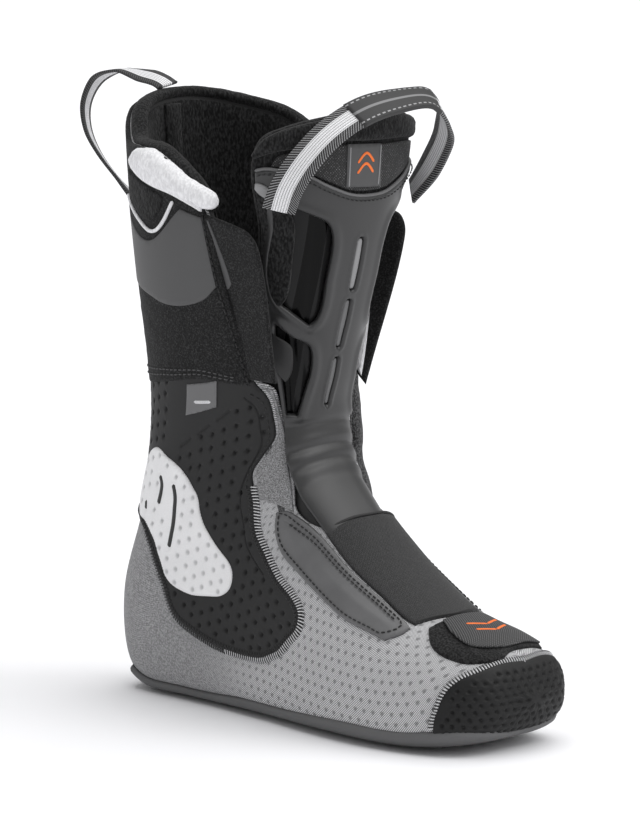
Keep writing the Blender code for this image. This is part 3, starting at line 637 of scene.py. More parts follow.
class Paint:
    """A Principled material and short ways to build its nodes. Weave coordinates are in millimetres."""

    def __init__(self, name, roughness=0.6, **values):
        self.material = bpy.data.materials.new(name)
        self.material.use_nodes = True
        self.tree = self.material.node_tree
        self.shader = self.tree.nodes["Principled BSDF"]
        self.shader.inputs["Roughness"].default_value = roughness
        for key, value in values.items():
            self.shader.inputs[key.replace("_", " ")].default_value = value

    def node(self, kind, **props):
        """A new node with some of its properties set."""
        made = self.tree.nodes.new(kind)
        for key, value in props.items():
            setattr(made, key, value)
        return made

    def feed(self, socket, value):
        """A socket given a number, a colour or another socket."""
        if isinstance(value, bpy.types.NodeSocket):
            self.tree.links.new(value, socket)
        elif isinstance(value, tuple):
            socket.default_value = (*value, 1.0) if len(value) == 3 and len(socket.default_value) == 4 else value
        else:
            socket.default_value = value

    def weave(self):
        """Along and across the cloth, in millimetres."""
        uv = self.node("ShaderNodeUVMap", uv_map="Weave")
        split = self.node("ShaderNodeSeparateXYZ")
        self.feed(split.inputs[0], uv.outputs[0])
        return split.outputs[0], split.outputs[1]

    def place(self):
        """The point in space, in millimetres."""
        coord = self.node("ShaderNodeTexCoord")
        scale = self.node("ShaderNodeVectorMath", operation="SCALE")
        self.feed(scale.inputs[0], coord.outputs["Object"])
        scale.inputs["Scale"].default_value = 1000.0
        return scale.outputs[0]

    def maths(self, operation, a, b=0.0, c=0.0):
        """One arithmetic step."""
        step = self.node("ShaderNodeMath", operation=operation)
        for socket, value in zip(step.inputs, (a, b, c)):
            self.feed(socket, value)
        return step.outputs[0]

    def times(self, a, b):
        """A product."""
        return self.maths("MULTIPLY", a, b)

    def plus(self, a, b):
        """A sum."""
        return self.maths("ADD", a, b)

    def scaled(self, value, gain, start):
        """A value times a gain, on top of a start."""
        return self.maths("MULTIPLY_ADD", value, gain, start)

    def wave(self, value, pitch, phase=0.0):
        """A sine of a length, from 0 to 1, that repeats at a pitch in millimetres."""
        angle = self.scaled(value, 2 * math.pi / pitch, phase)
        return self.scaled(self.maths("SINE", angle), 0.5, 0.5)

    def speckle(self, size, detail=2.0, stretch=None):
        """Noise from 0 to 1 with features of a size in millimetres."""
        made = self.node("ShaderNodeTexNoise")
        made.inputs["Scale"].default_value = 1.0 / size
        made.inputs["Detail"].default_value = detail
        where = self.place()
        if stretch:
            mapping = self.node("ShaderNodeMapping")
            self.feed(mapping.inputs[0], where)
            mapping.inputs["Scale"].default_value = stretch
            where = mapping.outputs[0]
        self.feed(made.inputs["Vector"], where)
        return made.outputs[0]

    def ramp(self, value, low, high):
        """A value from low to high, stretched to 0 and 1 with soft ends."""
        made = self.node("ShaderNodeMapRange", interpolation_type="SMOOTHSTEP")
        for key, amount in (("Value", value), ("From Min", low), ("From Max", high)):
            self.feed(made.inputs[key], amount)
        return made.outputs[0]

    def mix(self, share, a, b):
        """Two colours mixed by a share from 0 to 1."""
        made = self.node("ShaderNodeMix", data_type="RGBA")
        self.feed(made.inputs[0], share)
        self.feed(made.inputs[6], a)
        self.feed(made.inputs[7], b)
        return made.outputs[2]

    def tone(self):
        """How much painted shade a point gets, by how deep it lies in a pressed mark."""
        return self.node("ShaderNodeAttribute", attribute_name="tone").outputs["Fac"]

    def colour(self, value):
        """The base colour."""
        self.feed(self.shader.inputs["Base Color"], value)

    def rough(self, value, low, high):
        """Roughness from low to high by a share."""
        self.feed(self.shader.inputs["Roughness"], self.scaled(value, high - low, low))

    def bump(self, height, depth, strength):
        """Small relief: a height from 0 to 1 times a depth in millimetres."""
        made = self.node("ShaderNodeBump")
        made.inputs["Distance"].default_value = depth * MM
        made.inputs["Strength"].default_value = strength
        self.feed(made.inputs["Height"], height)
        self.feed(self.shader.inputs["Normal"], made.outputs[0])


def grey(level):
    """A near-grey colour."""
    return (level, level, level + level * 0.02)


def tinted(colour, gain):
    """A colour made darker or lighter."""
    return tuple(min(1.0, x * gain) for x in colour)


def brushed_cloth():
    """Black loop cloth with a pale nap."""
    p = Paint("brushed_cloth", 0.95, Sheen_Weight=0.06, Sheen_Roughness=0.5, Specular_IOR_Level=0.2)
    nap = p.speckle(0.9, 3.0)
    cloud = p.speckle(14.0, 2.0)
    light = p.times(p.ramp(nap, 0.42, 0.75), p.scaled(cloud, 0.7, 0.5))
    p.colour(p.mix(light, grey(0.009), grey(0.050)))
    p.bump(nap, 0.5, 0.6)
    return p.material


def plush(name, low, high, size=1.1):
    """Soft pile with lighter and darker tufts."""
    p = Paint(name, 1.0, Sheen_Weight=0.08, Sheen_Roughness=0.6, Specular_IOR_Level=0.1)
    tuft = p.speckle(size, 3.0, stretch=(1.0, 1.0, 0.45))
    wide = p.speckle(9.0, 2.0)
    share = p.times(p.ramp(tuft, 0.35, 0.72), p.scaled(wide, 0.8, 0.45))
    p.colour(p.mix(share, low, high))
    p.bump(tuft, 0.9, 0.8)
    return p.material


def felt(name, sheen, size, share, low, high):
    """Heathered felt: pale and dark fibres."""
    p = Paint(name, 0.95, Sheen_Weight=sheen, Sheen_Roughness=0.5)
    fibre = p.speckle(size, 3.0)
    p.colour(p.mix(p.ramp(fibre, *share), grey(low), grey(high)))
    p.bump(fibre, 0.35, 0.6)
    return p.material


def woven_mesh():
    """Pale twill with hexagonal dark spots over the forefoot, plainer and darker round the heel."""
    p = Paint("woven_mesh", 0.8, Sheen_Weight=0.05, Sheen_Roughness=0.4)
    along, across = p.weave()
    twill = p.wave(p.plus(along, across), 1.5)
    cross = p.wave(p.maths("SUBTRACT", along, across), 0.95)
    thread = p.times(twill, p.scaled(cross, 0.5, 0.5))
    pitch = 5.6
    a = p.wave(across, pitch)
    b = p.wave(p.scaled(along, 0.866, p.times(across, 0.5)), pitch)
    c = p.wave(p.scaled(along, 0.866, p.times(across, -0.5)), pitch)
    spots = p.ramp(p.plus(p.plus(a, b), c), 1.85, 2.75)
    split = p.node("ShaderNodeSeparateXYZ")
    p.feed(split.inputs[0], p.place())
    front = p.ramp(split.outputs[0], -45.0, 15.0)
    fuzz = p.speckle(1.0, 3.0)
    bright = p.mix(p.ramp(thread, 0.1, 0.75), grey(0.15), grey(0.86))
    plain = p.mix(p.ramp(fuzz, 0.3, 0.7), grey(0.14), grey(0.36))
    ground = p.mix(p.scaled(front, 0.85, 0.15), plain, bright)
    shade = p.times(spots, p.times(front, 0.62))
    p.colour(p.mix(shade, ground, grey(0.075)))
    p.bump(p.plus(thread, p.times(fuzz, 0.6)), 0.35, 0.5)
    return p.material


def dark_mesh():
    """Black open mesh whose filaments carry painted glints."""
    p = Paint("dark_mesh", 0.7, Sheen_Weight=0.04)
    along, across = p.weave()
    net = p.times(p.wave(p.plus(along, across), 1.7),
                  p.wave(p.maths("SUBTRACT", along, across), 1.7))
    # painted highlight: bright flecks where the threads cross, broken up by noise
    glint = p.times(p.ramp(net, 0.45, 0.8), p.ramp(p.speckle(1.6, 2.0), 0.4, 0.7))
    p.colour(p.mix(glint, grey(0.012), grey(0.21)))
    p.bump(net, 0.4, 0.7)
    return p.material


def moulded(name, base, roughness, grain=0.5, pit_shade_level=0.35, **values):
    """Moulded foam or rubber with a fine grain, with painted shade darkening its pressed marks."""
    p = Paint(name, roughness, **values)
    fine = p.speckle(grain, 2.0)
    cloud = p.speckle(18.0, 2.0)
    ground = p.mix(p.scaled(fine, 0.4, p.times(cloud, 0.4)),
                   tinted(base, 0.82), tinted(base, 1.25))
    # painted shade: the colour darkens inside pressed marks, standing in for the shade in their hollows
    p.colour(p.mix(p.ramp(p.tone(), 0.2, 0.9), ground, tinted(base, pit_shade_level)))
    p.rough(cloud, roughness - 0.05, roughness + 0.08)
    p.bump(fine, 0.12, 0.35)
    return p.material


def leather(name, base, roughness):
    """Coated synthetic leather with a fine pebble and soft wear."""
    p = Paint(name, roughness)
    cells = p.node("ShaderNodeTexVoronoi")
    cells.inputs["Scale"].default_value = 1.6
    p.feed(cells.inputs["Vector"], p.place())
    cloud = p.speckle(16.0, 3.0)
    p.colour(p.mix(cloud, tinted(base, 0.78), tinted(base, 1.3)))
    p.rough(cloud, roughness - 0.06, roughness + 0.1)
    p.bump(cells.outputs["Distance"], 0.1, 0.3)
    return p.material


def satin(name, base, roughness, **values):
    """Smooth flexible plastic with faint flow marks."""
    p = Paint(name, roughness, **values)
    cloud = p.speckle(22.0, 3.0)
    fine = p.speckle(0.8, 2.0)
    p.colour(p.mix(cloud, tinted(base, 0.88), tinted(base, 1.14)))
    p.rough(cloud, roughness - 0.04, roughness + 0.06)
    p.bump(fine, 0.05, 0.25)
    return p.material


def stretch_cloth(name, low, high):
    """Knitted stretch cloth."""
    p = Paint(name, 0.85, Sheen_Weight=0.05, Sheen_Roughness=0.5)
    along, across = p.weave()
    knit = p.times(p.wave(along, 1.1), p.wave(across, 1.1))
    fuzz = p.speckle(0.7, 3.0)
    p.colour(p.mix(p.ramp(p.scaled(fuzz, 0.8, p.times(knit, 0.25)), 0.3, 0.75),
                   low, high))
    p.bump(p.plus(knit, fuzz), 0.3, 0.5)
    return p.material


def ribbed_cloth():
    """Fine ribs along the toe closure."""
    p = Paint("ribbed_cloth", 0.75, Sheen_Weight=0.04)
    along, across = p.weave()
    rib = p.wave(across, 1.5)
    dash = p.wave(along, 1.1)
    p.colour(p.mix(p.ramp(p.times(rib, p.scaled(dash, 0.6, 0.4)), 0.15, 0.9),
                   grey(0.022), grey(0.115)))
    p.bump(rib, 0.4, 0.7)
    return p.material


def webbing(name, middle, thread):
    """Black webbing with ribbed white middle bands; its edges carry slanted pale threads."""
    p = Paint(name, 0.8, Sheen_Weight=0.04)
    along, across = p.weave()
    away = p.maths("ABSOLUTE", across)
    white = p.ramp(away, middle + 0.15, middle - 0.15)
    rib = p.wave(across, 1.45, math.pi / 2)
    pick = p.wave(along, 1.0)
    pale = p.mix(p.times(p.ramp(rib, 0.0, 0.22), p.scaled(pick, 0.2, 0.8)),
                 grey(0.22), grey(0.92))
    slant = p.wave(p.scaled(away, 0.75, along), 1.6)
    edge = p.times(p.ramp(slant, 0.62, 0.86), thread)
    black = p.mix(edge, grey(0.012), grey(0.30))
    p.colour(p.mix(white, black, pale))
    height = p.plus(p.times(rib, 0.6), p.times(pick, 0.4))
    p.bump(p.scaled(slant, 0.4, height), 0.45, 0.8)
    return p.material


def sleeve_cloth():
    """Dark sleeve cloth with pale stitches at its edges and a plain stripe."""
    p = Paint("sleeve_cloth", 0.6)
    along, across = p.weave()
    away = p.maths("ABSOLUTE", across)
    stitch = p.times(p.ramp(p.maths("ABSOLUTE", p.maths("SUBTRACT", away, 7.3)), 0.55, 0.3),
                     p.ramp(p.wave(along, 3.4), 0.35, 0.5))
    stripe = p.ramp(away, 1.0, 0.75)
    pale = p.maths("MAXIMUM", stitch, p.times(stripe, 0.6))
    p.colour(p.mix(pale, grey(0.024), grey(0.34)))
    p.bump(p.speckle(0.7), 0.15, 0.4)
    return p.material


def gloss_with_painted_reflections():
    """Glossy black sheet with upright bands of painted reflection in dark grey."""
    p = Paint("gloss_black", 0.22, Specular_IOR_Level=0.12)
    along, across = p.weave()
    # painted reflections: lighter upright bands stand in for the studio light mirrored in the facets
    band = p.ramp(p.wave(across, 21.0, 1.2), 0.55, 0.62)
    p.colour(p.mix(band, grey(0.0015), grey(0.016)))
    return p.material


def thread(name, level):
    """Twisted sewing thread."""
    p = Paint(name, 0.7, Sheen_Weight=0.05)
    p.colour(p.mix(p.speckle(0.8, 2.0), grey(level * 0.7), grey(min(level * 1.25, 0.9))))
    return p.material


def fibre_board():
    """Pressed fibre insole board."""
    p = Paint("fibre_board", 0.9)
    fibre = p.speckle(1.2, 4.0)
    p.colour(p.mix(fibre, (0.25, 0.21, 0.15), (0.42, 0.36, 0.27)))
    p.bump(fibre, 0.3, 0.6)
    return p.material


CLOTH = brushed_cloth()
BLACK_PLUSH = plush("black_plush", grey(0.004), grey(0.034))
WHITE_PLUSH = plush("white_plush", grey(0.74), grey(0.95), 1.3)
FELT = felt("heather_felt", 0.06, 0.55, (0.30, 0.70), 0.075, 0.36)
DARK_FELT = felt("dark_felt", 0.05, 0.9, (0.36, 0.68), 0.020, 0.125)
MESH = woven_mesh()
NET = dark_mesh()
EVA = moulded("moulded_eva", grey(0.015), 0.62, Specular_IOR_Level=0.35)
CAP = moulded("toe_rubber", grey(0.007), 0.55, 0.6, 0.3, Specular_IOR_Level=0.3)
RUBBER = moulded("sole_rubber", grey(0.105), 0.6)
GEL = moulded("white_gel", grey(0.84), 0.5, 0.7, 0.5)
MARKS_BLACK = satin("mark_black", grey(0.012), 0.5)
LEATHER = leather("grey_leather", grey(0.115), 0.42)
PANEL_GREY = satin("coated_cloth", grey(0.062), 0.55)
PANEL_PALE = satin("coated_cloth_pale", grey(0.125), 0.5)
BAND = stretch_cloth("stretch_cloth", grey(0.013), grey(0.050))
SHIELD = satin("shield_plastic", grey(0.027), 0.38)
GLOSS = gloss_with_painted_reflections()
SLEEVE = sleeve_cloth()
SILVER = satin("silver_trim", grey(0.24), 0.35)
SLOT_GREY = satin("slot_grey", grey(0.115), 0.4)
FOAM = moulded("laminated_foam", grey(0.030), 0.9, 0.9)
FOOTBED = stretch_cloth("footbed_cloth", grey(0.06), grey(0.20))
BOARD = fibre_board()
COUNTER = satin("counter_sheet", grey(0.18), 0.5)
TAB = ribbed_cloth()
WEB_WIDE = webbing("webbing_wide", 4.3, 1.0)
WEB_SLIM = webbing("webbing_slim", 3.6, 0.25)
BLACK_THREAD = thread("black_thread", 0.012)
WHITE_THREAD = thread("white_thread", 0.62)
HEM_THREAD = thread("hem_thread", 0.075)
ORANGE = Paint("orange_print", 0.6)
ORANGE.colour(ORANGE.mix(ORANGE.speckle(0.8, 2.0), (0.80, 0.13, 0.015), (0.95, 0.22, 0.03)))
ORANGE = ORANGE.material

# ---- Outlines in (u, v) on their surfaces, close to the CAD's ----
FOLD_LINE = [(15.0, 57), (15.65, 61.5), (16.25, 66.5), (16.8, 70.5), (17.1, 72.5), (17.85, 77.5)]
RIM_LEFT = [(18.2, 86), (18.55, 96), (18.8, 112), (18.88, 135), (18.92, 155)]
RIM_RIGHT = [(18.8, 205), (18.68, 215), (18.5, 227), (18.5, 240), (18.5, 256), (18.2, 274)]
FOAM_THROAT = [(7.3, 0), (7.4, 20), (7.9, 36), (9.05, 52), (9.9, 49), (12.15, 46), (13.5, 49), (14.25, 53)]
SKIN_THROAT = [(7.5, 0), (7.6, 24), (8.3, 39.5), (9.05, 44.5), (9.9, 39), (12.15, 36), (13.5, 40), (14.25, 44)]


def boot_outline(throat):
    """Whole boot with an open throat, unrolled from the top round the left side to the top again."""
    right = mirrored(throat + FOLD_LINE)
    return [(-1, 0)] + throat + FOLD_LINE + RIM_LEFT + [(18.9, 180)] + RIM_RIGHT + right + [(-1, 360)]


WRAP_HEM = [(14.78, 304.5), (15.08, 293.8), (15.36, 282.2), (15.58, 269.5), (15.76, 250), (15.85, 237),
            (15.95, 217), (16.07, 180)]
SIDE_PANEL = [(14.95, 304), (14.2, 312), (13.5, 316), (12.3, 318), (11.95, 312), (11.7, 307), (11.2, 306),
              (10.5, 304), (9.8, 299), (9.25, 297), (8.55, 294), (7.95, 293), (7.55, 290), (7.5, 284),
              (7.7, 276), (8.0, 265), (8.35, 256), (9.2, 251), (10.05, 252), (11.0, 257), (11.4, 259),
              (11.8, 260), (12.18, 258.5), (12.58, 255.2), (12.88, 252), (13.1, 248.8), (13.45, 242),
              (13.7, 234), (13.95, 222), (14.2, 205), (14.4, 181), (16.25, 181), (16.1, 223), (15.98, 250),
              (15.78, 271), (15.3, 290)]
ANKLE_PAD = [(14.85, 230), (14.8, 240), (14.45, 252), (14.1, 262), (13.55, 274), (12.95, 282), (12.3, 285),
             (11.5, 287), (10.25, 286), (9.9, 284), (9.75, 279), (9.9, 275), (10.3, 272), (11.1, 268),
             (11.85, 264), (12.45, 260.5), (13.1, 253), (13.5, 244), (13.8, 233), (14.1, 226), (14.5, 224)]
FELT_GUSSET = [(14.65, 308), (14.3, 315), (13.5, 319), (12.15, 322.5), (9.9, 319), (9.1, 314), (9.6, 310.5),
               (10.45, 305.5), (11.15, 307.5), (11.6, 308.5), (11.85, 313), (12.25, 319.2), (13.5, 317.2),
               (14.25, 313)]
LEATHER_EDGE = [(9.6, 308), (9.3, 312), (8.95, 314.5), (8.05, 319.5), (6.9, 322.5), (5.95, 326), (5.1, 326.5),
                (4.9, 325), (4.95, 319), (5.25, 309), (5.55, 307.5), (6.4, 303), (7.1, 302), (8.1, 301),
                (8.8, 301), (9.3, 304)]
SOLE_LEFT = [(1.45, 180), (1.55, 140), (2.2, 124), (3.5, 121), (4.3, 122), (5.5, 123), (6.7, 128),
             (7.65, 132), (8.65, 134), (9.45, 138), (10.85, 141), (11.5, 143), (11.8, 160)]
CAP_EDGE = [(1.45, 0), (1.65, 22), (2.0, 45), (2.6, 62), (2.9, 74), (3.15, 95), (3.25, 119)]
BAND_SIDE = [(8.0, 38), (6.9, 36.3), (5.95, 32.8), (5.1, 32), (4.87, 31)]
TOE_PAD = [(4.5, -28), (3.95, -40), (3.25, -45), (2.5, -43), (1.85, -24), (2.1, -5), (2.15, 15), (2.25, 36),
           (3.0, 40), (3.9, 33), (4.5, 26), (4.45, 0)]
TOE_TAB = [(4.42, -17), (3.8, -24), (3.0, -29), (2.75, -27), (2.3, -11), (2.35, 19), (2.4, 34), (2.75, 31),
           (3.9, 24), (4.42, 21)]
CUFF_SIDE = [(17.85, 204), (17.2, 204), (16.95, 222), (16.8, 242), (16.7, 253), (16.65, 266), (16.7, 280),
             (16.85, 287), (17.1, 285.5), (17.8, 281), (17.84, 275), (17.88, 269), (17.46, 251),
             (17.43, 243), (17.62, 226), (17.85, 215)]
CHEVRON_FILL = [(17.86, 228), (17.74, 237.5), (17.67, 246), (17.68, 250), (17.86, 257.5), (17.99, 259.5),
                (18.07, 251.5), (18.15, 238.5), (18.2, 229)]
COLLAR_EDGE = [(17.88, 281), (17.95, 274.5), (18.04, 264.5), (18.1, 251.5), (18.2, 239.5), (18.32, 234),
               (18.36, 234), (18.47, 241), (18.47, 256), (18.17, 274), (17.95, 281)]


def scatter(sheet, outline, pitch, margin, keep_out=()):
    """Points of a staggered pattern inside an outline, in (u, v)."""
    loop = np.array(outline, float)
    lo, hi = loop.min(0), loop.max(0)
    gu, gv = np.meshgrid(np.linspace(lo[0], hi[0], 160), np.linspace(lo[1], hi[1], 160), indexing="ij")
    points = np.stack((gu.ravel(), gv.ravel()), 1)
    points = points[inside(points, loop)]
    points = points[nearest(edge_of(sheet, outline)[1], sheet.at(points)) > margin]
    for other, gap in keep_out:
        off = nearest(edge_of(sheet, other)[1], sheet.at(points))
        points = points[(off > gap) & ~inside(points, np.array(other, float))]
    place = sheet.at(points)
    chosen = []
    a, b = place[:, 0] + 0.35 * place[:, 2], place[:, 2] - 0.35 * place[:, 0]
    for i in range(int(b.min() // (pitch * 0.87)), int(b.max() // (pitch * 0.87)) + 1):
        for j in range(int(a.min() // pitch) - 1, int(a.max() // pitch) + 2):
            x, z = (j + 0.5 * (i % 2)) * pitch, i * pitch * 0.87
            gap = np.hypot(a - x, b - z)
            k = int(np.argmin(gap))
            if gap[k] < pitch * 0.22:
                chosen.append(points[k])
    return np.array(chosen)


# ---- Boot body, skin and what lies inside ----
panel("body_foam", LAST, boot_outline(FOAM_THROAT), (-8.0, -2.0), FOAM, 3.6, both=True,
      edge=3.0, fine=2.4)
panel("upper_mesh", LAST, boot_outline(SKIN_THROAT), (-1.7, -0.3), MESH, 2.4, edge=0.8)
BOARD_LEFT = [(1.2, 180), (1.4, 150), (3, 133), (5, 133), (7, 137), (9, 147), (10.8, 152)]
panel("insole_board", LAST, BOARD_LEFT + [(11.0, 180)] + mirrored(BOARD_LEFT[1:]), (-9.9, -8.3),
      BOARD, 5)
BED_LEFT = [(1.5, 180), (1.7, 152), (3, 137), (5, 137), (7, 141), (9, 150), (10.5, 156)]
panel("footbed", LAST, BED_LEFT + [(10.7, 180)] + mirrored(BED_LEFT[1:]), (-13.5, -10.2), FOOTBED, 4,
      both=True)
COUNTER_LEFT = [(13.2, 115), (12.0, 110), (11.3, 138)]
panel("heel_counter", LAST, [(13.9, 180), (13.8, 145)] + COUNTER_LEFT + [(11.2, 180)]
      + mirrored(COUNTER_LEFT) + [(13.8, 215)], (-9.7, -8.3), COUNTER, 4)
LINING_EDGE = [(u, v + 1.5) for u, v in FOLD_LINE]
LINING_RIM = [(u - 0.1, v) for u, v in RIM_LEFT + [(18.9, 180)] + RIM_RIGHT]
panel("cuff_lining", LAST, [(14.7, 61)] + LINING_EDGE + LINING_RIM
      + mirrored([(14.7, 61)] + LINING_EDGE) + [(14.7, 180)], (-9.7, -8.3), BLACK_PLUSH, 2.6,
      edge=0.7, both=True, roughen=0.3)

# ---- Sole and toe cap ----
panel("outsole", LAST, SOLE_LEFT + [(11.85, 180)] + mirrored(SOLE_LEFT[1:]), (-0.2, 3.0), RUBBER, 2.4,
      edge=2.6)
CAP_RIM = CAP_EDGE + [(3.3, 180)] + mirrored(CAP_EDGE)
CAP_CENTRE, CAP_RADIUS = 225.0, 42.0                 # the toe cap's middle along the boot, and its radius
CAP_PITCH, CAP_ROW, CAP_LOWEST = 4.1, 3.7, 7.0       # spacing of its dimples and height of their lowest row
CAP_MARGIN = 4.5                                     # how far they stay from its edge


def cap_dimples():
    """Staggered dimples round the wall of the toe cap, by angle and height."""
    gu, gv = np.meshgrid(np.linspace(-0.95, 3.3, 260), np.linspace(0, 359, 360), indexing="ij")
    grid = np.stack((gu.ravel(), gv.ravel()), 1)
    place = LAST.at(grid)
    round_way = np.arctan2(place[:, 1], place[:, 0] - CAP_CENTRE) * CAP_RADIUS
    spots = []
    for row in range(14):
        for column in range(-32, 33):
            way, height = (column + 0.5 * (row % 2)) * CAP_PITCH, CAP_LOWEST + row * CAP_ROW
            gap = np.hypot(round_way - way, place[:, 2] - height)
            k = int(np.argmin(gap))
            if gap[k] < 0.7:
                spots.append(grid[k])
    spots = np.array(spots)
    spots = spots[inside(spots, np.array([(-0.9, 0)] + CAP_RIM + [(-0.9, 360)], float))]
    return spots[nearest(edge_of(LAST, CAP_RIM)[1], LAST.at(spots)) > CAP_MARGIN]


# the toe cap's dimples get painted shade in their hollows
panel("toe_cap", LAST, [(-1, 0)] + CAP_RIM + [(-1, 360)], (-0.2, 1.5), CAP, 1.7, edge=1.2,
      marks=[Mark(cap_dimples(), 1.5, 1.1, 0.9, rim=0.4)])

# ---- Side panels with ankle pads, felt and stitched leather ----


def line_mark(sheet, path, width, depth, tone):
    """A pressed line along a path."""
    return Mark(resample(sheet, path, width * 0.8), width, depth, tone)


for side, (turn, flip) in SIDES.items():
    holes = scatter(LAST, SIDE_PANEL, 8.6, 6.0, [(ANKLE_PAD, 3.5)])
    holes = holes[~((holes[:, 0] > 14.35) & (holes[:, 1] > 250))]
    holes = np.array(flip(holes))
    edge_path = flip([(14.6, 300.5), (14.1, 306.5), (13.5, 310), (12.5, 312), (12.0, 306.5), (11.6, 302.5),
                      (10.5, 298), (9.85, 293.5), (9.0, 291)])
    pills = [flip([(14.45, a), (14.47, a + 7)]) for a in (262, 274, 286)]
    # the holes, the edge groove and the pills get painted shade in their hollows
    marks = [Mark(holes, 1.85, 1.7, 1.0, rim=0.15), line_mark(LAST, edge_path, 0.8, 0.55, 0.8)]
    marks += [line_mark(LAST, path, 1.3, 0.6, 0.5) for path in pills]
    panel("side_panel_" + side, LAST, turn(SIDE_PANEL), (-0.2, 1.7), EVA, 2.0, edge=1.5, marks=marks)
    dimples = np.array(flip(scatter(LAST, ANKLE_PAD, 8.4, 2.6)))
    slots = [flip([(14.2, 249), (13.9, 253.5), (13.55, 254.5)]), flip([(13.95, 239), (13.7, 242.5)]),
             flip([(13.75, 263), (13.3, 269), (12.8, 270.5), (12.4, 268)])]
    slot_tree = tree_of(LAST.at(np.concatenate([resample(LAST, s, 1.5) for s in slots])))
    dimples = dimples[nearest(slot_tree, LAST.at(dimples)) > 4]
    # the gel pad's dimples get painted shade in their hollows
    panel("ankle_pad_" + side, LAST, turn(ANKLE_PAD), (1.2, 3.0), GEL, 2.0, edge=1.7,
          marks=[Mark(dimples, 2.3, 1.0, 0.75, rim=0.06)]
          + [line_mark(LAST, s, 1.6, 0.5, 0.0) for s in slots])
    for number, s in enumerate(slots):
        line_roll(f"ankle_mark_{side}_{number}", LAST, s, 2.75, 0.5, 1.35, MARKS_BLACK, 3.0, 12, 1.2, 0.8,
                  1, slot="gloss_black")
    panel("felt_gusset_" + side, LAST, turn(FELT_GUSSET), (-0.2, 0.9), FELT if side == "lateral"
          else DARK_FELT, 2.2, edge=0.8, roughen=0.12)
    panel("instep_leather_" + side, LAST, turn(LEATHER_EDGE), (-0.2, 1.7), LEATHER, 2.0, edge=1.2,
          relief=lambda u, v, d: 0.7 * np.clip((d - 5) / 6, 0, 1) ** 1.5,
          marks=[line_mark(LAST, flip([(9.15, 309.5), (8.7, 311.8), (8.0, 314.6), (7.0, 317.4), (6.0, 320.4),
                                       (5.35, 321.2)]), 0.9, 0.35, 0.4)])
    front_edge = flip([(9.45, 309.2), (9.2, 311.4), (8.8, 313.2), (8.0, 317), (6.9, 320), (5.95, 323.4),
                       (5.2, 324.2), (5.12, 319), (5.42, 310.5), (5.7, 309), (6.4, 305.3), (7.1, 304.3),
                       (8.1, 303.4), (8.8, 303.2), (9.2, 305.5)])
    stitches("leather_stitch_" + side, LAST, front_edge + front_edge[:1], 1.75, BLACK_THREAD, 2.0, 1.2,
             0.42)
    second = flip([(8.95, 310.5), (8.6, 312.2), (8.0, 315.2), (6.9, 318.2), (5.95, 321.6), (5.3, 322.2)])
    stitches("leather_second_stitch_" + side, LAST, second, 1.95, BLACK_THREAD, 2.0, 1.2, 0.42)
    panel_stitch = flip([(14.6, 303.5), (14.15, 309.8), (13.5, 313.6), (12.4, 315.3), (12.1, 311), (11.85, 306),
                         (11.2, 303.4)])
    stitches("panel_stitch_" + side, LAST, panel_stitch, 1.7, BLACK_THREAD, 1.8, 1.8, 0.4)
    seam = flip([(11.1, 305.7)] + SIDE_PANEL[7:12] + [(7.6, 290.5)] + SIDE_PANEL[13:30] + [(14.38, 184)])
    sign = 1 if side == "lateral" else -1
    bars("seam_pale_" + side, LAST, seam[:12], (1.4 * sign, -2.6 * sign), (1.4, -0.25), WHITE_THREAD, 1.7,
         0.0, 0.5, 0.36)
    bars("seam_dark_" + side, LAST, seam, (2.8 * sign, -2.2 * sign), (1.6, -0.2), BLACK_THREAD, 1.7,
         0.5, 0.5, 0.36)
    zigzag("seam_knit_" + side, LAST, sideways(LAST, resample(LAST, seam, 4), 2.6 * sign), 2.2, 1.6,
           BLACK_THREAD, 1.1, 0.4)

# ---- Instep band, toe closure, seams round the toe ----
BAND_OUTLINE = [(7.8, 0), (7.85, 23)] + BAND_SIDE + [(4.7, 18), (4.57, 0), (4.7, -18)]
BAND_OUTLINE += [(u, -v) for u, v in reversed(BAND_SIDE)] + [(7.85, -23)]
panel("instep_band", LAST, BAND_OUTLINE, (-0.2, 1.6), BAND, 2.2, edge=1.3)
for name, path in (("top", [(8.0, 37), (7.88, 23), (7.83, 0), (7.88, -23), (8.0, -37)]),
                   ("low", [(4.92, 30), (4.75, 18), (4.62, 0), (4.75, -18), (4.92, -30)])):
    line_roll("band_piping_" + name, LAST, path, 1.0, 0.9, 0.8, BLACK_THREAD, 2.0, 12, 1.2, 1.2,
              slot="neoprene")
panel("toe_pad", LAST, TOE_PAD, (-0.2, 1.2), BLACK_PLUSH, 1.6, edge=1.0, roughen=0.45)
panel("toe_tab", LAST, TOE_TAB, (1.4, 3.0), TAB, 1.6, edge=0.8, both=True, body="toe_closure")
panel("tongue_anchor", LAST, [(7.45, -20), (7.88, -24), (7.9, 0), (7.88, 24), (7.45, 20), (7.42, 0)],
      (-7.5, -2.1), FOAM, 4)
THROAT_WEB = [(7.5, 318), (8.3, 316), (9.2, 311), (10.5, 309), (11.8, 313), (11.2, 326), (9.5, 333), (8.0, 336),
              (7.5, 332)]
for side, (turn, _) in SIDES.items():
    panel("throat_web_" + side, LAST, turn(THROAT_WEB), (-5.6, -4.2), SHIELD, 3.0, edge=0.6, replaces=())
for number, (u0, v0) in enumerate(((3.62, 6), (3.2, 5))):
    for half, (du, dv) in enumerate(((0.26, -15), (0.26, 15))):
        line_roll(f"toe_tab_stripe_{number}_{half}", LAST, [(u0 + du, v0 + dv), (u0, v0)], 3.0, 0.28, 0.8,
                  ORANGE, 3.0, 10, 0.8, slot="neoprene", body="toe_closure")
cap_path = [(3.25, 244)] + mirrored(CAP_EDGE)[1:] + [(u, v + 360) for u, v in CAP_EDGE[1:]]
bars("cap_seam_pale", LAST, cap_path, (-1.6, 2.2), (1.4, -0.2), WHITE_THREAD, 1.7, 0.0, 0.6, 0.36)
bars("cap_seam_dark", LAST, cap_path, (-2.4, 3.0), (1.4, -0.2), BLACK_THREAD, 1.7, 0.5, 0.6, 0.34)

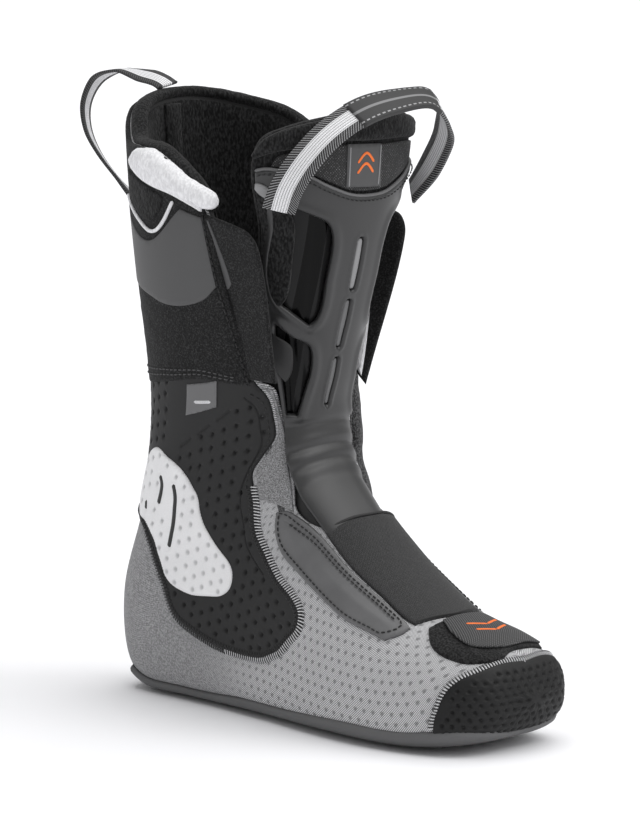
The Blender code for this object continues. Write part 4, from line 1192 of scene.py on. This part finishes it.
# ---- Cuff: wrap, side panels, chevrons, plush rim ----
WRAP_EDGE = [(u, v + 0.5) for u, v in FOLD_LINE]
WRAP_LEFT = mirrored(WRAP_HEM)[1:] + WRAP_EDGE + RIM_LEFT
WRAP_RIGHT = RIM_RIGHT + mirrored(WRAP_EDGE) + WRAP_HEM[:-1]
panel("cuff_wrap", LAST, [(16.07, 180)] + WRAP_LEFT + [(18.9, 180)] + WRAP_RIGHT, (-0.2, 2.4), CLOTH,
      2.6, edge=1.8, roughen=0.25)
hem = [(u + 0.12, v) for u, v in WRAP_HEM[1:] + mirrored(WRAP_HEM)[1:-1]]
for number, rise in enumerate((0.0, 0.07)):
    stitches(f"wrap_hem_stitch_{number}", LAST, [(u + rise, v) for u, v in hem], 2.4, HEM_THREAD, 2.0, 1.5,
             0.36)
for side, (turn, flip) in SIDES.items():
    panel("cuff_panel_" + side, LAST, turn(CUFF_SIDE), (2.2, 3.0), PANEL_GREY, 2.6, edge=0.5)
    line = [(17.9, 222), (17.7, 236), (17.58, 244.5), (17.545, 249), (17.58, 254), (17.72, 259.5), (17.97, 265.5)]
    line_roll("chevron_" + side, LAST, flip(line), 2.9, 0.9, 1.0, WHITE_PLUSH, 2.5, 14, 1.0,
              slot="white_plush", replaces=["chevron_" + side])
    panel("chevron_fill_" + side, LAST, turn(CHEVRON_FILL), (2.2, 3.3), BLACK_PLUSH, 1.8, edge=0.9,
          roughen=0.3)
    collar = panel("collar_" + side, LAST, turn(COLLAR_EDGE), (1.9, 4.4), WHITE_PLUSH, 1.7, edge=2.6,
                   roughen=0.4, relief=lambda u, v, d: 2.2 * np.clip(d / 6, 0, 1) ** 0.7)
    fold = reflected(FOLD_LINE)
    line_roll("fold_welt_" + side, LAST, flip(fold), 0.9, 1.5, 2.2, CLOTH, 2.0, 14, 2.0, 1.5,
              slot="brushed_cloth", roughen=0.12)
    stitches("fold_stitch_" + side, LAST, flip([(u, v - 1.2) for u, v in fold]), 2.45, BLACK_THREAD, 2.6,
             1.2, 0.45)
SIZE_TAG = [(15.6, 263), (15.38, 283.5), (14.8, 284.5), (15.03, 263)]
panel("size_tag", LAST, SIZE_TAG, (1.8, 2.3), PANEL_PALE, 1.6, edge=0.3)
line_roll("size_tag_line", LAST, [(15.2, 268.5), (15.0, 280.5)], 2.35, 0.2, 0.9, WHITE_THREAD, 3.0, 10,
          0.8, slot="smooth_grey")

rim = [(17.85, 77.5)] + RIM_LEFT + [(18.9, 180)] + RIM_RIGHT + [(17.85, 282.5)]
rim_roll = line_roll("cuff_rim_roll", LAST, rim, -5.6, 4.6, 3.2, BLACK_PLUSH, 2.0, 24, 7.0, 2.5,
                     slot="black_plush", roughen=0.25)
for side in ("lateral", "medial"):
    row = resample(LAST, [(18.33, 234), (18.37, 243), (18.37, 252), (18.28, 262), (18.15, 272), (18.07, 281),
                          (18.0, 288.5)], 1.6)
    if side == "medial":
        row[:, 1] = 360 - row[:, 1]
    share = np.linspace(0, 1, len(row))
    plump = np.interp(share, (0, 0.3, 0.6, 1), (4.6, 7.2, 6.4, 5.4))
    collar_roll = roll("collar_roll_" + side, "liner", LAST.lifted(row, 0.8),
                       LAST.normal(row), plump * 0.95, plump, WHITE_PLUSH, 2.0, 26, 9.0,
                       slot="white_plush", roughen=0.45)

SIDE_STEP = np.array((0.719, 0.695, 0.0))            # the way the medial binding stands out from the throat
throat = [(14.9, 56.2), (14.25, 52.5), (13.5, 48.6), (12.15, 45.6), (9.9, 48.6), (9.05, 51.6), (8.35, 44)]
for side in ("lateral", "medial"):
    row = resample(LAST, throat if side == "medial" else reflected(throat), 2.5)
    line = LAST.lifted(row, -4.4)
    high, wide = 4.9, 3.4
    if side == "medial":
        stand = np.interp(row[:, 0], (8.35, 9.05, 9.9, 12.15, 13.5, 14.9), (2.0, 4.0, 7.0, 9.5, 7.5, 4.0))
        line += SIDE_STEP * stand[:, None]
        high, wide = 4.4, 4.6
    edge_roll = roll("throat_binding_" + side, "liner", line, LAST.normal(row), high, wide,
                     DARK_FELT, 2.2, 24, 5.0, slot="grey_felt", roughen=0.25)

# ---- Cuff flaps ----
FLAPS = {
    "lateral": (1, [(15.0, 303), (17.85, 282.5)], [(143, -41, 184), (147, -59, 266)]),
    "medial": (-1, [(15.0, 57), (17.85, 77.5)], [(129.5, 45, 174), (148.5, 61.5, 268)]),
}
FLAP_OUTLINE = [(0.0, 0.0), (0.0, 1.0), (0.82, 1.0), (0.93, 0.94), (0.99, 0.8), (1.0, 0.6), (1.0, 0.0)]
LINING_OUTLINE = [(0.03, 0.2), (0.02, 0.72), (0.1, 0.72), (0.5, 0.56), (0.75, 0.45), (0.95, 0.38), (0.96, 0.12)]
for side, (turn, fold_ends, front_ends) in FLAPS.items():
    ends = np.array(fold_ends, float)
    bottom_fold, top_fold = LAST.lifted(ends, 2.4)
    bottom_front, top_front = np.array(front_ends, float)

    def flap_point(u, v, a=bottom_fold, b=top_fold, c=bottom_front, d=top_front):
        """Points of the flap at height u and v times its reach in front of the fold line."""
        u, v = u[:, None], np.abs(v)[:, None]
        fold = a + (b - a) * u
        return fold + (c + (d - c) * u - fold) * v

    flap_sheet = Sheet(side + "_flap", flap_point, np.linspace(-0.02, 1.02, 53), np.linspace(-1.05, 1.05, 85), 0,
                       (0.01, 0.01))
    cloth = [(u, turn * max(v, 0.005)) for u, v in FLAP_OUTLINE]
    flap = panel("flap_" + side, flap_sheet, cloth, (-2.5, 0.1), CLOTH, 2.4, edge=1.3, both=True,
                 roughen=0.2)
    panel("flap_plush_" + side, flap_sheet, [(u, turn * v) for u, v in LINING_OUTLINE], (-4.6, -2.4),
          WHITE_PLUSH, 2.2, edge=1.1, both=True, roughen=0.3)
    strip = [(0.55, 0.02), (0.565, 0.12), (0.6, 0.22), (0.66, 0.215), (0.97, 0.06), (0.97, 0.02)]
    panel("flap_strip_" + side, flap_sheet, [(u, turn * v) for u, v in strip], (0.0, 0.55), PANEL_GREY,
          2.4, edge=0.4, replaces=())

# ---- Tongue ----


def inset(outline, step):
    """An outline pulled towards its own middle by a share of its size."""
    u0 = sum(u for u, _ in outline) / len(outline)
    v0 = sum(v for _, v in outline) / len(outline)
    return [(u0 + (u - u0) * (1 - step), v0 + (v - v0) * (1 - step)) for u, v in outline]


def slot_outline(low, high, half, v_low, v_high):
    """A round-ended slot of a half width, whose middle goes from v_low to v_high."""
    ends = [(0.0, 0.45), (0.05, 0.9), (0.14, 1.0)]
    left = [(low + step, wide) for step, wide in ends] + [(high - step, wide) for step, wide in reversed(ends)]
    slope = (v_high - v_low) / (high - low)
    return [(u, v_low + slope * (u - low) + v * half) for u, v in left + flipped(left)]


PAD_LEFT = [(11.95, 0), (11.75, 30), (11.5, 52), (11.2, 66), (10.6, 71), (9.6, 72), (6, 71), (3, 70), (0.05, 70)]
SHIELD_LEFT = [(9.88, 0), (9.93, 14), (10.15, 28), (10.4, 40), (10.5, 58), (10.4, 67), (8, 67), (5, 67),
               (3, 66), (0.12, 66)]
UPPER_WINDOW = [(9.45, -36.5), (9.27, -28), (8.95, -25), (7.975, -25.5), (6.75, -29.5), (6.55, -34), (6.875, -48),
                (7.1, -57), (9.7, -57), (9.62, -48.5)]
LOWER_WINDOW = [(5.9, -33), (5.55, -30.5), (4.1, -40), (3.65, -46), (3.65, -60), (5.0, -61), (6.35, -58),
                (6.12, -47)]
OPENINGS = {
    "slot_insert_top": slot_outline(7.6, 8.93, 2.5, -4, -3.5),
    "slot_insert_middle": slot_outline(5.87, 7.33, 2.6, -5.7, -5.3),
    "slot_insert_low": slot_outline(3.95, 5.55, 2.9, -10, -6.5),
    "upper_window_lateral": UPPER_WINDOW,
    "upper_window_medial": flipped(UPPER_WINDOW),
    "lower_window_lateral": LOWER_WINDOW,
    "lower_window_medial": flipped(LOWER_WINDOW),
}
WINDOW_SINK, WINDOW_MARGIN = 5.0, 3.0    # how deep the pad sinks behind the windows, and how far round them
OPENING_EDGES = {name: edge_of(TONGUE, outline) for name, outline in OPENINGS.items()}


def window_depth(u, v, d):
    """How far the pad sinks behind the windows."""
    points = np.stack((u, v), 1)
    sunk = np.zeros(len(u))
    place = TONGUE.point(u, v)
    for name, (loop, tree) in OPENING_EDGES.items():
        if "slot" in name:
            continue
        away = nearest(tree, place) * np.where(inside(points, loop), 1, -1)
        sunk = np.minimum(sunk, -WINDOW_SINK * np.clip((away + WINDOW_MARGIN) / 1.5, 0, 1))
    return sunk


tongue_pad = panel("tongue_pad", TONGUE, PAD_LEFT + flipped(PAD_LEFT[1:]), (-8.5, -0.3), BLACK_PLUSH,
                   2.2, both=True, edge=3.8, roughen=0.25,
                   relief=lambda u, v, d: window_depth(u, v, d) - 0.5 * (d > 4))


def shield_relief(u, v, d):
    """Raised lips round the openings, a soft ridge, and creases across the lower shield."""
    height = np.zeros(len(u))
    place = TONGUE.point(u, v)
    for name, (_, tree) in OPENING_EDGES.items():
        away = nearest(tree, place)
        if "slot" in name:
            height += 0.45 * np.exp(-((away - 1.6) / 1.0) ** 2)
        else:
            height += 1.1 * np.exp(-((away - 2.2) / 2.4) ** 2)
    for centre, depth, width in ((3.25, 0.7, 0.10), (2.35, 0.9, 0.12), (1.75, 0.8, 0.14), (1.2, 0.5, 0.16)):
        bow = centre + 0.12 * np.cos(np.radians(v * 2))
        height -= depth * np.exp(-((u - bow) / width) ** 2)
        height += depth * 0.6 * np.exp(-((u - bow - 0.3) / 0.2) ** 2)
    return height


panel("tongue_shield", TONGUE, SHIELD_LEFT + flipped(SHIELD_LEFT[1:]), (-0.25, 1.8), SHIELD, 1.6,
      edge=1.3, holes=list(OPENINGS.values()), relief=shield_relief)


def window_bands(u, v, d):
    """Upright facets that catch the light."""
    return 0.35 * np.sin(np.radians(v) * 34)


for name, outline in OPENINGS.items():
    if "slot" in name:
        panel(name, TONGUE, inset(outline, 0.03), (-0.25, 1.0), SILVER if name.endswith("top")
              else SLOT_GREY, 1.0, edge=0.8)
    else:
        # the windows' glossy sheet carries painted reflection bands
        panel(name, TONGUE, inset(outline, -0.07), (-3.4, -2.6), GLOSS, 1.6, edge=0.3,
              relief=window_bands)
MESH_LOW = [(10.55, -58), (10.5, -42), (10.25, -28), (10.02, -14), (9.97, 0), (10.02, 14), (10.25, 28),
            (10.5, 42), (10.55, 58)]
MESH_HIGH = [(10.87, 54), (11.06, 37), (11.11, 0), (11.12, -28), (10.95, -46), (10.83, -54)]
panel("tongue_mesh", TONGUE, MESH_LOW + MESH_HIGH, (-0.9, 0.5), NET, 2.0, edge=0.6)
COLLAR_LOW = [(10.75, 68), (10.95, 58), (11.13, 37), (11.18, 0), (11.19, -28), (11.03, -46), (10.88, -58),
              (10.68, -68)]
COLLAR_HIGH = [(10.8, -69.5), (11.17, -64), (11.45, -52), (11.7, -30), (11.9, 0), (11.7, 30), (11.45, 52),
               (11.17, 64), (10.8, 69.5)]
tongue_collar = panel("tongue_collar", TONGUE, COLLAR_LOW + COLLAR_HIGH, (-1.5, 2.4), BLACK_PLUSH, 1.8,
                      edge=3.2, roughen=0.25)
panel("tongue_label", TONGUE, [(10.1, -17), (10.05, 9), (11.12, 7), (11.16, -17)], (0.3, 1.1),
      PANEL_GREY, 2.0, edge=0.3)
for name, v0 in (("left", -15.2), ("right", 6.6)):
    line_roll("label_edge_" + name, TONGUE, [(10.1, v0), (11.1, v0)], 1.15, 0.3, 0.45, SILVER, 2.0, 10,
              0.6, slot="silver_trim")
for number, u0 in enumerate((10.52, 10.78)):
    line_roll(f"label_mark_{number}", TONGUE, [(u0 - 0.1, -10), (u0 + 0.14, -4), (u0 - 0.1, 2)], 1.15,
              0.22, 0.75, ORANGE, 3.0, 10, 0.8, 0.8, slot="smooth_grey")
panel("lace_hook", TONGUE, [(9.98, -66.5), (10.12, -66), (10.12, -63), (10.02, -58.5), (9.86, -56),
                                      (9.78, -57.5), (9.8, -61.5), (9.9, -65)], (1.6, 3.9),
      SILVER, 1.0, edge=1.0)
BLADE = [(6.1, -60), (5.9, -47), (5.75, -45.5), (4.75, -53), (4.65, -56), (4.95, -63)]
panel("tongue_blade", TONGUE, BLADE, (2.2, 3.4), MARKS_BLACK, 1.2, edge=0.6, both=True)
panel("loop_patch", TONGUE, [(9.95, -66.5), (9.8, -55), (9.4, -48), (8.6, -47.5), (7.2, -50.5), (6.9, -55),
                                       (6.9, -67), (8.5, -67)], (0.6, 2.5), BLACK_PLUSH, 2.0, edge=1.2,
      roughen=0.25, replaces=())
top_edge = SHIELD_LEFT[5::-1] + [(u, -v) for u, v in SHIELD_LEFT[1:6]]
line_roll("shield_piping", TONGUE, top_edge, 1.0, 1.1, 0.9, LEATHER, 2.0, 14, 1.5, 1.5,
          slot="shield_plastic")
below = sideways(TONGUE, resample(TONGUE, top_edge, 3), -2.6)
stitches("shield_stitch", TONGUE, below, 2.6, BLACK_THREAD, 1.6, 1.4, 0.42)

# ---- Pull loops ----
TONGUE_LOOP = np.array([(154, -49, 279), (162.2, -50.7, 292.3), (172, -47.4, 307), (179.9, -35.9, 321.3),
                        (186.6, -17.6, 332), (191.3, 3.7, 336.6), (194.1, 24.2, 336.7), (192.6, 37.7, 328),
                        (183.4, 48.6, 315), (169.2, 53.8, 298), (153, 56, 282)])
TONGUE_LOOP_WIDTHS = np.array([(-0.66, -0.72, 0.06), (-0.80, -0.41, 0.40), (-0.82, -0.20, 0.52),
                               (-0.78, 0.01, 0.63), (-0.72, 0.28, 0.65), (-0.68, 0.54, 0.49),
                               (-0.54, 0.79, 0.23), (-0.69, 0.72, -0.09), (-0.95, 0.33, -0.08),
                               (-0.96, 0.22, 0.09), (-0.90, 0.40, 0.02)])
REAR_LOOP = np.array([(19, 0, 336), (12.5, 0, 338.5), (1.1, 0, 340.6), (-19.1, 0, 342.6), (-36.8, 0, 336.6),
                      (-47, 0, 322.5), (-45.8, 0, 307.2), (-35.2, 0, 292.8), (-17.2, 0, 278.2), (8, 0, 262)])
REAR_LOOP_WIDTHS = np.array([(-0.31, 0.89, 0.33), (-0.35, 0.88, 0.30), (-0.46, 0.83, 0.32), (-0.70, 0.72, -0.05),
                             (-0.52, 0.80, -0.32), (-0.45, 0.87, -0.18), (-0.53, 0.84, -0.09),
                             (-0.63, 0.77, -0.11), (-0.62, 0.78, -0.12), (0.0, 1.0, 0.0)])


def strap(name, body, route, widths, half, thick, material, span=None):
    """A flat woven ribbon along a route, with its width direction at each point of the route."""
    low, high = span or (0, len(route) - 1)
    u = np.linspace(low, high, int((high - low) * 9) + 2)
    points = spline(route, u)
    ahead, behind = spline(route, u + 0.05), spline(route, u - 0.05)
    run = unit(ahead - behind)
    wide = spline(widths, u)
    wide = unit(wide - run * np.sum(wide * run, 1, keepdims=True))
    normal = np.cross(wide, run)
    section = circle(36, thick / 2, half, 7.0)
    section[:, 0] *= 1 + 0.25 * np.abs(np.cos(section[:, 1] * 2.2))
    return tubes(name, body, points[None], normal[None], section, None, material, [name])


strap("tongue_loop", "tongue_pull", TONGUE_LOOP, TONGUE_LOOP_WIDTHS, 9.0, 1.7, WEB_WIDE)
strap("loop_sleeve", "tongue_pull", TONGUE_LOOP, TONGUE_LOOP_WIDTHS, 9.4, 2.8, SLEEVE, (3.7, 6.35))
strap("rear_loop", "rear_pull", REAR_LOOP, REAR_LOOP_WIDTHS, 7.5, 1.5, WEB_SLIM)
panel("rear_loop_anchor", LAST, [(17.1, 172), (17.6, 172), (17.6, 188), (17.1, 188)], (2.2, 3.9),
      WEB_SLIM, 2.0, edge=0.8)
panel("rear_loop_tail", LAST, [(18.2, 173), (18.78, 173), (18.78, 187), (18.2, 187)], (-11.4, -9.6),
      BLACK_PLUSH, 2.0, both=True, edge=0.8)

# ---- Floor, light and camera ----
AZIMUTH, ELEVATION = math.radians(44.0), math.radians(8.3)
DISTANCE = 2.5
LENS, SENSOR = 202.4, 36.0
SHIFT_RIGHT, SHIFT_UP = -0.0056, 0.0065
right = Vector((math.cos(AZIMUTH), math.sin(AZIMUTH), 0.0))
back = Vector((math.sin(AZIMUTH) * math.cos(ELEVATION), -math.cos(AZIMUTH) * math.cos(ELEVATION),
               math.sin(ELEVATION)))
above = back.cross(right)
target = Vector((np.array((145.0, 0.0, 160.0)) - ORIGIN) * MM)    # what the camera faces

floor_mesh = bpy.data.meshes.new("floor")
floor_mesh.from_pydata([(-30, -30, 0), (30, -30, 0), (30, 30, 0), (-30, 30, 0)], [], [(0, 1, 2, 3)])
floor = add("floor", floor_mesh)
floor.location.z = -0.0005
floor_paint = Paint("floor_white", 0.7)
floor_paint.colour(floor_paint.mix(floor_paint.speckle(60.0), grey(0.95), grey(0.97)))
floor_mesh.materials.append(floor_paint.material)

world = bpy.data.worlds.new("studio")
bpy.context.scene.world = world
world.use_nodes = True
background = world.node_tree.nodes["Background"]
background.inputs["Color"].default_value = (1.0, 1.0, 1.0, 1.0)
background.inputs["Strength"].default_value = 0.50


def soft_sun(name, direction, angle, power):
    """An even, wide studio light from one side."""
    data = bpy.data.lights.new(name, "SUN")
    data.angle = math.radians(angle)
    data.energy = power
    add(name, data).rotation_euler = Vector(direction).to_track_quat("Z", "Y").to_euler()


soft_sun("top_light", Vector((0, 0, 1)) + right * 0.25, 75, 2.0)
soft_sun("side_light", right * 0.9 + above * 0.55 + back * 0.35, 40, 0.7)

camera_data = bpy.data.cameras.new("camera")
camera_data.lens = LENS
camera_data.sensor_width = SENSOR
camera = add("camera", camera_data)
camera.location = target + back * DISTANCE + right * SHIFT_RIGHT + above * SHIFT_UP
camera.rotation_euler = back.to_track_quat("Z", "Y").to_euler()
bpy.context.scene.camera = camera
bpy.context.scene.view_settings.view_transform = "Standard"
